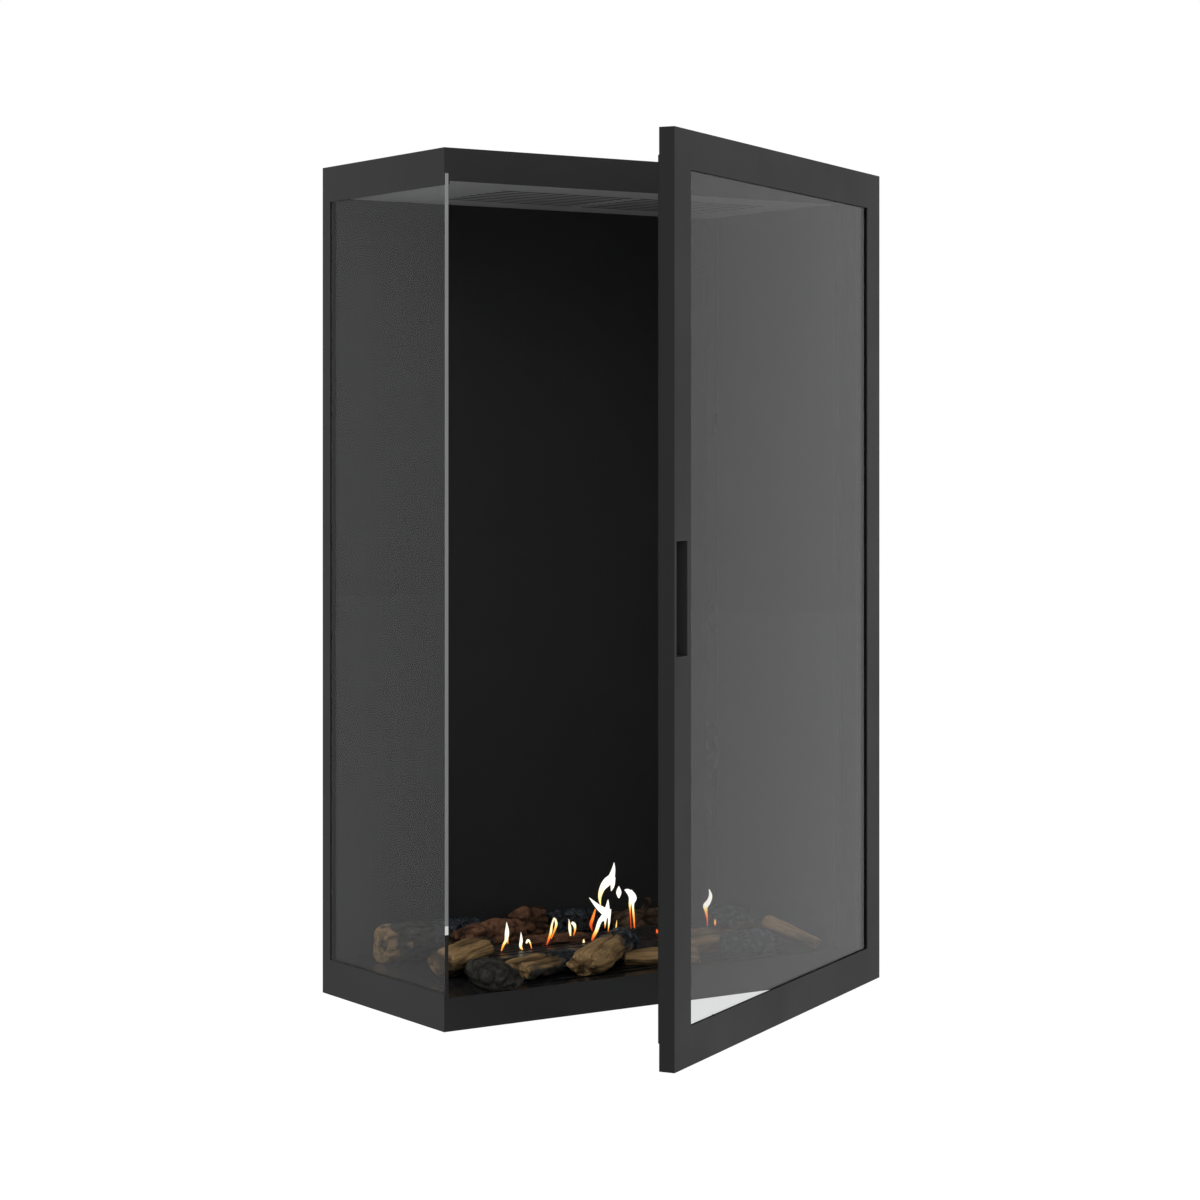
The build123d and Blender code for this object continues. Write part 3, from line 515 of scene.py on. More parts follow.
@dataclass(frozen=True)
class GlassFinish:
    """Clear heatproof glass with a faint tint and a few smears."""

    name: str
    tint: Colour
    index: float
    # Whether the front edge is ground, with a painted dark refraction and a painted highlight on it.
    ground_front_and_glint: bool = False

    def material(self, effects: Effects) -> bpy.types.Material:
        """Make the material, which lets lamps shine through.

        Args:
            effects: The shared groups.

        Returns:
            The finished material.
        """
        sheet = ShaderSheet(self.name)
        smear = sheet.group(effects.mottle, Colour=(*self.tint, 1.0), Patch_Scale=9.0, Amount=0.012)
        tint = smear.outputs["Colour"]
        sheet.coat(tint, 0.0, Transmission_Weight=1.0, IOR=self.index)
        clear = sheet.node("BsdfTransparent", Color=tint).outputs["BSDF"]
        lit = sheet.rays("Is Shadow Ray", "Is Diffuse Ray")
        pane = sheet.blend(lit, sheet.main.outputs["BSDF"], clear)
        sheet.show(self.with_ground_and_painted_edge(sheet, pane) if self.ground_front_and_glint else pane)
        return sheet.material

    @staticmethod
    def with_ground_and_painted_edge(sheet: ShaderSheet, pane: bpy.types.NodeSocket) -> bpy.types.NodeSocket:
        """Grind the pane's front edge, with painted light on it: a painted dark refraction at its foot, then
        one painted highlight as a bright glint, and grey above it.

        Args:
            sheet: The pane's material.
            pane: The clear pane's shader.

        Returns:
            The shader of the pane with its edge.
        """
        height = sheet.node("SeparateXYZ", Vector=sheet.place()).outputs["Z"]
        # Painted light: the near black at the foot is a painted dark refraction, and the near white stop is a
        # painted highlight.
        painted_edge_band = sheet.ramp(
            sheet.spread(height, 0.0, 0.3),
            (0.0, (0.006, 0.006, 0.006, 1.0)),
            (0.385, (0.95, 0.95, 0.93, 1.0)),
            (0.42, (0.27, 0.275, 0.275, 1.0)),
            steps=True,
        )
        ground = sheet.node("BsdfPrincipled", Base_Color=painted_edge_band, Roughness=0.55, Specular_IOR_Level=0.3)
        facing = sheet.node("SeparateXYZ", Vector=sheet.node("NewGeometry").outputs["Normal"])
        return sheet.blend(sheet.spread(facing.outputs["Y"], -0.55, -0.65), pane, ground.outputs["BSDF"])


@dataclass(frozen=True)
class RopeFinish:
    """A black woven glass-fibre rope or tape."""

    name: str
    colour: Colour
    twist: float = 320.0

    def material(self, effects: Effects) -> bpy.types.Material:
        """Make the material, with a slanting twist as its relief.

        Args:
            effects: The shared groups.

        Returns:
            The finished material.
        """
        sheet = ShaderSheet(self.name)
        turn = sheet.node("Mapping", Vector=sheet.place(), Rotation=(0.6, 0.6, 0.78)).outputs["Vector"]
        wave = sheet.node("TexWave", Vector=turn, Scale=self.twist, Distortion=1.5, Detail=2.0)
        mottle = sheet.group(effects.mottle, Colour=(*self.colour, 1.0), Patch_Scale=30.0, Amount=0.25)
        sheet.coat(mottle.outputs["Colour"], 0.9, Specular_IOR_Level=0.1, Sheen_Weight=0.15)
        sheet.relief(wave.outputs["Fac"], 0.0004)
        return sheet.material


@dataclass(frozen=True)
class LogFinish:
    """The painted skin of a ceramic log: split wood, bark and char by the mesh's own attributes."""

    name: str
    wood: Paint
    bark: Paint

    def material(self, effects: Effects) -> bpy.types.Material:
        """Make the material. The mesh carries grain as a vector, and bark, char and relief as shares.

        Args:
            effects: The shared groups.

        Returns:
            The finished material.
        """
        sheet = ShaderSheet(self.name)
        grain = sheet.stored("grain", "Vector")
        bark, char, relief = [sheet.stored(label) for label in ("bark", "char", "relief")]
        stretch = sheet.node("Mapping", Vector=grain, Scale=(16.0, 420.0, 420.0)).outputs["Vector"]
        fibre = sheet.node("TexNoise", Vector=stretch, Scale=1.0, Detail=8.0, Roughness=0.7).outputs["Fac"]
        crust = sheet.node("TexNoise", Vector=grain, Scale=140.0, Detail=8.0, Roughness=0.7).outputs["Fac"]
        crack = sheet.node("TexVoronoi", Vector=grain, Scale=130.0).outputs["Distance"]
        wood = sheet.ramp(fibre, (0.3, self.wood.shade(0.42)), (0.72, self.wood.shade(1.35)))
        skin = sheet.ramp(crust, (0.32, self.bark.shade(0.3)), (0.7, self.bark.shade(1.6)))
        coal = sheet.ramp(crack, (0.25, Paint.CHAR.shade(2.6)), (0.62, Paint.CHAR.shade(0.35)))
        burnt = sheet.mix(char, sheet.mix(bark, wood, skin), coal)
        # Painted shade and painted highlight: the colour is darkened in the hollows and lightened on the
        # ridges by the stored relief.
        scaled = sheet.mix(1.0, burnt, sheet.spread(relief, -1.0, 0.6, 0.22, 1.15), "MULTIPLY")
        dust = sheet.calc("MULTIPLY", sheet.group(effects.dust, Amount=0.22).outputs["Mask"], char)
        ashen = sheet.mix(dust, scaled, Paint.ASH.shade())
        sheet.coat(ashen, sheet.spread(char, 0.0, 1.0, 0.86, 0.42), Specular_IOR_Level=0.18)
        sheet.relief(sheet.mix(bark, fibre, crust), 0.0018)
        return sheet.material


@dataclass(frozen=True)
class FlameFinish:
    """Burning gas: red at the root, then orange and yellow, and white where it is hottest."""

    name: str
    strength: float = 1.0

    def material(self) -> bpy.types.Material:
        """Make the material. The mesh carries its warmth as a share.

        Returns:
            The finished material.
        """
        sheet = ShaderSheet(self.name)
        rim = sheet.node("LayerWeight", Blend=0.5).outputs["Facing"]
        warmth = sheet.calc("SUBTRACT", sheet.stored("warmth"), sheet.spread(rim, 0.35, 1.0, 0.0, 0.35), True)
        glow = sheet.ramp(
            warmth,
            (0.0, (0.45, 0.03, 0.008, 1.0)),
            (0.3, (0.9, 0.13, 0.02, 1.0)),
            (0.55, (1.0, 0.45, 0.06, 1.0)),
            (0.75, (1.0, 0.82, 0.32, 1.0)),
            (1.0, (1.0, 0.97, 0.9, 1.0)),
        )
        sheet.coat((0.0, 0.0, 0.0, 1.0), 1.0, Specular_IOR_Level=0.0, Emission_Strength=self.strength)
        sheet.fill(sheet.main, Emission_Color=glow)
        return sheet.material


def dress(node: bpy.types.Object, material: bpy.types.Material) -> None:
    """Put one material on an object in place of what it has."""
    node.data.materials.clear()
    node.data.materials.append(material)


def finish_piece(piece: bpy.types.Object, body: str, slot: str, *nodes: str) -> None:
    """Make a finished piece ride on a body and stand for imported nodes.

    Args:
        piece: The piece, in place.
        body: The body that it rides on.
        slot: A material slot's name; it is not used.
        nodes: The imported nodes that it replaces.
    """
    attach(piece, body)
    if nodes:
        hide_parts(*nodes)
    LOG.info("%s rides on %s with %d faces", piece.name, body, len(piece.data.polygons))


def mesh_object(name: str, mesh: bpy.types.Mesh) -> bpy.types.Object:
    """Link a mesh to the scene as an object at the origin.

    Args:
        name: The object's name.
        mesh: Its mesh.

    Returns:
        The new object.
    """
    made = bpy.data.objects.new(name, mesh)
    bpy.context.scene.collection.objects.link(made)
    return made


def plain_mesh(holder: bpy.types.Object) -> bpy.types.Mesh:
    """Turn an object with its modifiers into one plain mesh, and remove the object.

    Args:
        holder: The object.

    Returns:
        The new mesh.
    """
    bpy.context.view_layer.update()
    mesh = bpy.data.meshes.new_from_object(holder.evaluated_get(bpy.context.evaluated_depsgraph_get()))
    holder.modifiers.clear()
    bpy.data.objects.remove(holder)
    return mesh


def dress_nodes(plan: list[tuple[Any, str]], nodes: dict[str, bpy.types.Object], effects: Effects) -> None:
    """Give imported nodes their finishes.

    Args:
        plan: Each finish and the names of its nodes, with spaces between.
        nodes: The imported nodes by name.
        effects: The shared groups.
    """
    for finish, names in plan:
        material = finish.material(effects)
        for name in names.split():
            dress(nodes[name], material)
        LOG.info("%s on %s", finish.name, names)


@dataclass
class Casing:
    """The standing steel body, its glass and its hidden fittings."""

    effects: Effects
    paint: SheetFinish = SheetFinish("casing_coat", (0.022, 0.022, 0.0223), 0.5, specular=0.12)
    wall: SheetFinish = SheetFinish(
        "firebox_black", (0.020, 0.020, 0.0202), 0.85, specular=0.08, amount=0.1
    )
    # Above its underside the ceiling is painted near black, as painted shade in its slots.
    ceiling: SheetFinish = SheetFinish(
        "ceiling_coat", (0.27, 0.27, 0.272), 0.6, specular=0.2, shaded_above=1.02153
    )
    strip: SheetFinish = SheetFinish("strip_coat", (0.028, 0.028, 0.028), 0.3, specular=0.5)
    sooty: SheetFinish = SheetFinish(
        "sooty_steel", (0.016, 0.015, 0.014), 0.6, 0.3, 0.3, amount=0.3, patch=30.0
    )
    floor: SheetFinish = SheetFinish("floor_gloss", (0.010, 0.010, 0.0104), 0.16, specular=0.25, dust=0.1)
    burner: SheetFinish = SheetFinish(
        "burner_steel", (0.05, 0.045, 0.043), 0.42, 0.6, 0.4, amount=0.3, patch=18.0
    )
    liner: SheetFinish = SheetFinish(
        "liner_glass", (0.03, 0.03, 0.031), 0.1, specular=1.0, grain_depth=0.000002
    )
    steel: SheetFinish = SheetFinish(
        "bare_steel", (0.5, 0.5, 0.5), 0.35, 1.0, 0.5, amount=0.12, patch=20.0
    )
    brass: SheetFinish = SheetFinish(
        "machined_brass", (0.72, 0.5, 0.2), 0.3, 1.0, 0.5, amount=0.1, patch=30.0
    )
    board: SheetFinish = SheetFinish(
        "fibre_board", (0.62, 0.6, 0.55), 0.95, specular=0.1, grain=400.0, amount=0.1
    )
    rope: RopeFinish = RopeFinish("gasket_weave", (0.02, 0.02, 0.02))
    pane: GlassFinish = GlassFinish("side_pane", (0.97, 0.98, 0.98), 1.14, True)

    def dress_all(self, nodes: dict[str, bpy.types.Object]) -> None:
        """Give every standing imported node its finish.

        Args:
            nodes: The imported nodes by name.
        """
        painted = (
            "base_pan top_cap rear_left_post hinge_post rear_panel right_panel glass_channel_lower "
            "glass_channel_upper hinge_bracket_lower hinge_bracket_upper"
        )
        plan = [
            (self.paint, painted),
            (self.strip, "liner_corner_strip"),
            (self.sooty, "pilot_bracket pilot_burner ignition_electrode thermocouple"),
            (self.wall, "back_liner right_inner_panel exhaust_hood"),
            (self.ceiling, "ceiling_plate"),
            (self.floor, "fire_floor"),
            (self.burner, "burner_tray burner_cover"),
            (self.liner, "right_liner"),
            (self.steel, "hinge_pins gas_pipe flue_collar_outer flue_collar_inner"),
            (self.brass, "burner_injector gas_inlet"),
            (self.board, "rear_insulation"),
            (self.rope, "post_gasket side_glass_seal"),
            (self.pane, "side_glass"),
        ]
        dress_nodes(plan, nodes, self.effects)


@dataclass
class Door:
    """The swinging glazed door: painted frame, tinted pane, seal and catch magnets."""

    effects: Effects
    paint: SheetFinish = SheetFinish("door_coat", (0.018, 0.018, 0.0183), 0.5, specular=0.115)
    cup: SheetFinish = SheetFinish("pull_coat", (0.034, 0.034, 0.034), 0.6, specular=0.15)
    steel: SheetFinish = SheetFinish(
        "plated_steel", (0.45, 0.45, 0.45), 0.4, 1.0, 0.5, amount=0.12, patch=20.0
    )
    rope: RopeFinish = RopeFinish("seal_weave", (0.022, 0.022, 0.022), 260.0)
    pane: GlassFinish = GlassFinish("door_pane", (0.70, 0.705, 0.705), 1.18)

    def dress_all(self, nodes: dict[str, bpy.types.Object]) -> None:
        """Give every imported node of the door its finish.

        Args:
            nodes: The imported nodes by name.
        """
        plan = [
            (self.paint, "door_frame glass_retainers_upright glass_retainers_level"),
            (self.cup, "door_pull"),
            (self.steel, "hinge_blocks door_magnets"),
            (self.rope, "door_seal glass_tape"),
            (self.pane, "door_glass"),
        ]
        dress_nodes(plan, nodes, self.effects)


@dataclass(frozen=True)
class Seat:
    """Where one packed screw sits, which way it faces, and its sizes in metres."""

    place: Vector
    axis: Vector
    head_radius: float
    head_height: float
    shank_radius: float
    shank_length: float


@dataclass
class Screws:
    """Screws with a recessed drive, laid on a packed group's heads by a geometry node tree."""

    effects: Effects
    finish: SheetFinish = SheetFinish("screw_black", (0.05, 0.05, 0.052), 0.4, 0.8, 0.4)

    @staticmethod
    def tree() -> bpy.types.GeometryNodeTree:
        """Build the tree: a head with a six-sided recess, and a shank, on every point of the carrier.

        Returns:
            The node tree. Each screw turns to the direction that its point stores.
        """
        bench, given, result = new_group(
            "screw_rows",
            {
                "Geometry": ("Geometry", None),
                "Head Radius": ("Float", 0.004),
                "Head Height": ("Float", 0.002),
                "Shank Radius": ("Float", 0.002),
                "Shank Length": ("Float", 0.006),
                "Material": ("Material", None),
            },
            {"Geometry": "Geometry"},
            GeometryBench,
        )
        bench.tree.is_modifier = True

        def raised(radius: Any, height: Any, sides: int, share: float) -> bpy.types.NodeSocket:
            """Add a cylinder, moved up by a share of its height.

            Args:
                radius: Its radius.
                height: Its height.
                sides: Its faces around.
                share: How much of its height it moves up by.

            Returns:
                The cylinder's geometry.
            """
            made = bench.node("MeshCylinder", Vertices=sides, Radius=radius, Depth=height)
            lift = bench.node("ShaderNodeCombineXYZ", Z=bench.calc("MULTIPLY", height, share))
            moved = bench.node("Transform", Geometry=made.outputs["Mesh"], Translation=lift.outputs["Vector"])
            return moved.outputs["Geometry"]

        radius, height, length = given["Head Radius"], given["Head Height"], given["Shank Length"]
        head = raised(radius, height, HEAD_SIDES, 0.5)
        recess = raised(bench.calc("MULTIPLY", radius, RECESS_SHARE), height, RECESS_SIDES, RECESS_LIFT)
        cut = bench.node("MeshBoolean", operation="DIFFERENCE", Mesh_1=head, Mesh_2=recess)
        whole = bench.node("JoinGeometry", Geometry=cut.outputs["Mesh"])
        bench.feed(whole.inputs["Geometry"], raised(given["Shank Radius"], length, SHANK_SIDES, -0.5))
        facing = bench.node("InputNamedAttribute", data_type="FLOAT_VECTOR", Name="facing")
        turn = bench.node("FunctionNodeAlignRotationToVector", axis="Z", Vector=facing.outputs["Attribute"])
        laid = bench.node("InstanceOnPoints", Points=given["Geometry"], Instance=whole.outputs["Geometry"])
        bench.fill(laid, Rotation=turn.outputs["Rotation"])
        real = bench.node("RealizeInstances", Geometry=laid.outputs["Instances"])
        skin = bench.node("SetMaterial", Geometry=real.outputs["Geometry"], Material=given["Material"])
        bench.feed(result["Geometry"], skin.outputs["Geometry"])
        return bench.tree

    def seats(self, node: bpy.types.Object) -> list[Seat]:
        """Measure where each packed screw's head sits and which way it faces.

        Args:
            node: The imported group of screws.

        Returns:
            One seat for each screw.
        """
        work = bmesh.new()
        work.from_mesh(node.data)
        bmesh.ops.remove_doubles(work, verts=work.verts, dist=MERGE)
        islands: list[list[Vector]] = []
        seen: set[int] = set()
        work.verts.ensure_lookup_table()
        for first in work.verts:
            if first.index in seen:
                continue
            stack, island = [first], []
            seen.add(first.index)
            while stack:
                vert = stack.pop()
                island.append(vert.co.copy())
                for edge in vert.link_edges:
                    other = edge.other_vert(vert)
                    if other.index not in seen:
                        seen.add(other.index)
                        stack.append(other)
            islands.append(island)
        work.free()
        found = []
        for island in islands:
            middle = sum(island, Vector()) / len(island)
            axis = self.axis_of(island, middle)
            along = [(v - middle).dot(axis) for v in island]
            wide = [((v - middle) - axis * (v - middle).dot(axis)).length for v in island]
            head_radius = max(wide)
            rim = [a for a, w in zip(along, wide) if w > head_radius * RIM_SHARE]
            low, high = min(along), max(along)
            if abs(high - max(rim)) > abs(min(rim) - low):
                axis, along, low, high = -axis, [-a for a in along], -high, -low
                rim = [-a for a in rim]
            seat = min(rim)
            shank_radius = sorted(w for a, w in zip(along, wide) if a < seat - BELOW_SEAT)[-1]
            sizes = (head_radius, high - seat, shank_radius, seat - low)
            found.append(Seat(middle + axis * seat, axis, *sizes))
        return found

    @staticmethod
    def axis_of(island: list[Vector], middle: Vector) -> Vector:
        """Find the line that a screw lies along, as the one of three that it reaches furthest along.

        Args:
            island: The screw's points.
            middle: Their mean.

        Returns:
            A unit vector.
        """
        door = math.radians(DOOR_OPEN)
        tries = [Vector((1, 0, 0)), Vector((0, 0, 1)), Vector((math.cos(door), math.sin(door), 0))]

        def reach(axis: Vector) -> float:
            """Measure how far the screw's points spread along a line."""
            along = [(point - middle).dot(axis) for point in island]
            return max(along) - min(along)

        return max(tries, key=reach)

    def build(self, name: str, node: bpy.types.Object, body: str) -> bpy.types.Object:
        """Make the detailed screws that stand for a packed group.

        Args:
            name: The piece's name.
            node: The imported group.
            body: The body that it rides on.

        Returns:
            The finished piece.
        """
        seats = self.seats(node)
        carrier = bpy.data.meshes.new(name + "_points")
        carrier.from_pydata([tuple(seat.place) for seat in seats], [], [])
        facing = carrier.attributes.new("facing", "FLOAT_VECTOR", "POINT")
        facing.data.foreach_set("vector", [part for seat in seats for part in seat.axis])
        holder = mesh_object(name + "_points", carrier)
        modifier = holder.modifiers.new("screw_rows", "NODES")
        modifier.node_group = self.tree()
        inputs = [item for item in modifier.node_group.interface.items_tree if item.in_out == "INPUT"]
        values = {
            "Head Radius": seats[0].head_radius,
            "Head Height": seats[0].head_height,
            "Shank Radius": seats[0].shank_radius,
            "Shank Length": seats[0].shank_length,
            "Material": self.finish.material(self.effects),
        }
        for item in inputs:
            if item.name in values:
                modifier[item.identifier] = values[item.name]
        piece = mesh_object(name, plain_mesh(holder))
        finish_piece(piece, body, "plain_steel", node.name)
        return piece


@dataclass
class CeramicLog:
    """One moulded log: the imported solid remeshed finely, then worked into grain, bark or char.

    Char and bark each set in between two shares of its length. Bark also stays on the side that bark_side
    points to. The voxel is in metres, and depth multiplies all its relief.
    """

    node: str
    start: Point
    end: Point
    seed: float
    pattern: Pattern = Pattern.SPLIT
    bark: Paint = Paint.BROWN
    wood: Paint = Paint.TAN
    char: tuple[float, float] | None = None
    bark_from: tuple[float, float] | None = None
    bark_side: Point | None = None
    voxel: float = 0.0015
    depth: float = 1.0

    def build(self, packed: bpy.types.Object, effects: Effects) -> bpy.types.Object:
        """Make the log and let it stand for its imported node.

        Args:
            packed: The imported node.
            effects: The shared shader groups.

        Returns:
            The finished piece.
        """
        piece = mesh_object("dressed_" + self.node, self.remeshed(packed))
        self.work(piece.data)
        dress(piece, LogFinish(self.node + "_paint", self.wood, self.bark).material(effects))
        finish_piece(piece, "casing", "log_ceramic", self.node)
        return piece

    def remeshed(self, packed: bpy.types.Object) -> bpy.types.Mesh:
        """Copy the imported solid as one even, closed and finely divided mesh.

        Args:
            packed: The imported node.

        Returns:
            The new mesh.
        """
        work = bmesh.new()
        work.from_mesh(packed.data)
        bmesh.ops.remove_doubles(work, verts=work.verts, dist=MERGE)
        mesh = bpy.data.meshes.new(self.node + "_skin")
        work.to_mesh(mesh)
        work.free()
        holder = mesh_object(self.node + "_skin", mesh)
        remesh = holder.modifiers.new("remesh", "REMESH")
        remesh.mode = "VOXEL"
        remesh.voxel_size = self.voxel * 1
        remesh.use_smooth_shade = True
        return plain_mesh(holder)

    def work(self, mesh: bpy.types.Mesh) -> None:
        """Push the mesh's points in and out, and store grain, bark, char and relief on them.

        Args:
            mesh: The fine mesh, changed in place.
        """
        run = bed(*self.end) - bed(*self.start)
        length = run.length
        along = run.normalized()
        side = along.cross(Vector((0, 0, 1))).normalized()
        over = side.cross(along)
        origin = bed(*self.start)
        barky = Vector(self.bark_side).normalized() if self.bark_side else None
        shift = Vector((self.seed * 3.7, self.seed * 1.3, self.seed * 2.1))
        normals = [v.normal.copy() for v in mesh.vertices]
        grain: list[float] = []
        shares: dict[str, list[float]] = {"bark": [], "char": [], "relief": []}
        for vert, normal in zip(mesh.vertices, normals):
            local = vert.co - origin
            a, s, u = local.dot(along), local.dot(side), local.dot(over)
            grain.extend((a + self.seed, s, u))
            place = Vector((a, s, u))
            ragged = RAGGED * noise.noise(place * RAGGED_RATE + shift)
            t = a / length + ragged
            char = 1.0 if self.pattern is Pattern.CHAR else 0.0
            if self.char:
                char = smooth(self.char[0], self.char[1], t)
            bark = 0.0 if self.pattern is Pattern.SPLIT else 1.0
            if self.bark_from:
                bark = smooth(self.bark_from[0], self.bark_from[1], t)
            if barky is not None:
                bark = max(bark, smooth(0.05, 0.35, normal.dot(barky) + 0.6 * ragged))
            rise = self.height(place, shift, bark, char)
            if vert.co.z < RESTING_HEIGHT:
                rise *= RESTING_SHARE
            vert.co += normal * rise
            if abs(normal.dot(along)) > END_FACING and char < 0.5:
                fibre = noise.fractal(Vector((s * END_RATE, u * END_RATE, 0.0)) + shift, 0.7, 2.0, 3)
                vert.co += along * (END_FIBRE * fibre)
            shares["bark"].append(bark)
            shares["char"].append(char)
            shares["relief"].append(max(-1.0, min(1.0, rise / FULL_RELIEF)))
        store = mesh.attributes.new("grain", "FLOAT_VECTOR", "POINT")
        store.data.foreach_set("vector", grain)
        for label, values in shares.items():
            mesh.attributes.new(label, "FLOAT", "POINT").data.foreach_set("value", values)
        mesh.update()

    def height(self, place: Vector, shift: Vector, bark: float, char: float) -> float:
        """Work out how far a point stands out or in.

        Args:
            place: The point along, beside and above the log's line, in metres.
            shift: The log's own offset in the noise.
            bark: How much of it is bark.
            char: How much of it is char.

        Returns:
            Metres outwards.
        """
        lines = drawn_out(place, *GROOVE_RATE) + shift
        grooves = noise.fractal(lines, 0.7, 2.1, 4)
        crevice = max(0.0, 1.0 - abs(noise.noise(lines * 0.55 + shift)) * 7.0)
        ledge = 3.0 * noise.noise(drawn_out(place, *LEDGE_RATE) + shift)
        step = math.floor(ledge) + smooth(0.0, 0.35, ledge - math.floor(ledge))
        split = GROOVE * grooves - CREVICE * crevice + LEDGE * step
        plates = noise.voronoi(drawn_out(place, *PLATE_RATE) + shift)[0]
        plate = smooth(0.0, 0.3, plates[1] - plates[0])
        knobs = noise.fractal(drawn_out(place, *KNOB_RATE) + shift, 0.8, 2.2, 5)
        rough = KNOB * knobs + PLATE * plate - BARK_SUNK
        result = split * (1 - bark) + rough * bark
        if char > 0.02:
            near = noise.voronoi(drawn_out(place, *COAL_RATE) + shift)[0]
            crack = smooth(0.0, 0.25, near[1] - near[0])
            grit = noise.fractal(place * GRIT_RATE + shift, 0.8, 2.0, 3)
            coal = COAL_CELL * crack - COAL_SUNK + COAL_GRAIN * grit
            result = result * (1 - char) + coal * char
        swell = SWELL * noise.noise(place * SWELL_RATE + shift)
        return (result + swell) * self.depth


# Every log and the charcoal, each with the line that the part's source gives it.
LOGS = (
    CeramicLog(
        "log_rear_left", (62, 262, 60), (210, 265, 60), 1.1, Pattern.BARK, Paint.EARTH,
        char=(0.5, 0.68), bark_from=(0.04, 0.14),
    ),
    CeramicLog("log_bark_left", (148, 212, 60), (252, 236, 60), 2.3, Pattern.BARK, Paint.RUSSET),
    CeramicLog("log_bark_rear", (264, 264, 64), (309, 262, 65), 3.9, Pattern.BARK, Paint.RUSSET),
    CeramicLog(
        "log_front_left", (66, 116, 60), (158, 160, 64), 4.2, char=(0.84, 0.95), bark_side=(0.2, 0.6, -0.7),
    ),
    CeramicLog(
        "log_front_dark", (92, 12, 50), (112, 104, 50), 5.7, Pattern.BARK, Paint.EARTH,
        wood=Paint.EARTH, depth=0.75,
    ),
    CeramicLog(
        "log_front_centre", (140, 60, 50), (246, 94, 50), 6.4,
        bark=Paint.EARTH, char=(0.42, 0.7), bark_side=(0.45, -0.6, -0.65),
    ),
    CeramicLog("log_leaning", (224, 40, 52), (344, 118, 66), 7.6, char=(0.5, 0.72)),
    CeramicLog("log_right_split", (316, 84, 46), (404, 44, 46), 8.8),
    CeramicLog(
        "log_bark_board", (226, 182, 61), (316, 170, 61), 9.5, Pattern.BARK, Paint.RUSSET,
        voxel=0.0012, depth=0.6,
    ),
    CeramicLog("log_rear_charred", (318, 262, 58), (404, 262, 57), 10.2, Pattern.CHAR, depth=1.5),
    CeramicLog("log_rear_right", (412, 260, 54), (522, 252, 52), 11.8, Pattern.BARK),
    CeramicLog("log_block", (404, 100, 54), (492, 96, 54), 12.9),
    CeramicLog("log_front_right", (454, 58, 52), (516, 36, 52), 13.3, Pattern.CHAR, Paint.EARTH),
    CeramicLog("log_right_bark", (512, 116, 53), (592, 98, 52), 14.7, Pattern.BARK),
    CeramicLog("log_corner_slab", (550, 88, 68), (590, 30, 45), 15.6, bark=Paint.EARTH, depth=1.5),
    CeramicLog(
        "charcoal_chunks", (530, 196, 58), (586, 172, 58), 16.4, Pattern.CHAR, Paint.EARTH, depth=1.3,
    ),
)


@dataclass
class LogBed:
    """All the logs and the charcoal."""

    effects: Effects
    logs: tuple[CeramicLog, ...] = field(default=LOGS)

    def build(self, nodes: dict[str, bpy.types.Object]) -> None:
        """Make every log.

        Args:
            nodes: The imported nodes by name.
        """
        for log in self.logs:
            log.build(nodes[log.node], self.effects)


def between(before: float, first: float, second: float, after: float, share: float) -> float:
    """Round a line off between two of its values, by the ones before and after them.

    Args:
        before: The value before the first.
        first: The value at a share of 0.
        second: The value at a share of 1.
        after: The value after the second.
        share: How far it is from the first to the second.

    Returns:
        The value there.
    """
    p, q, r, s, t = before, first, second, after, share
    return 0.5 * (2 * q + (r - p) * t + (2 * p - 5 * q + 4 * r - s) * t * t + (3 * q - p - 3 * r + s) * t**3)


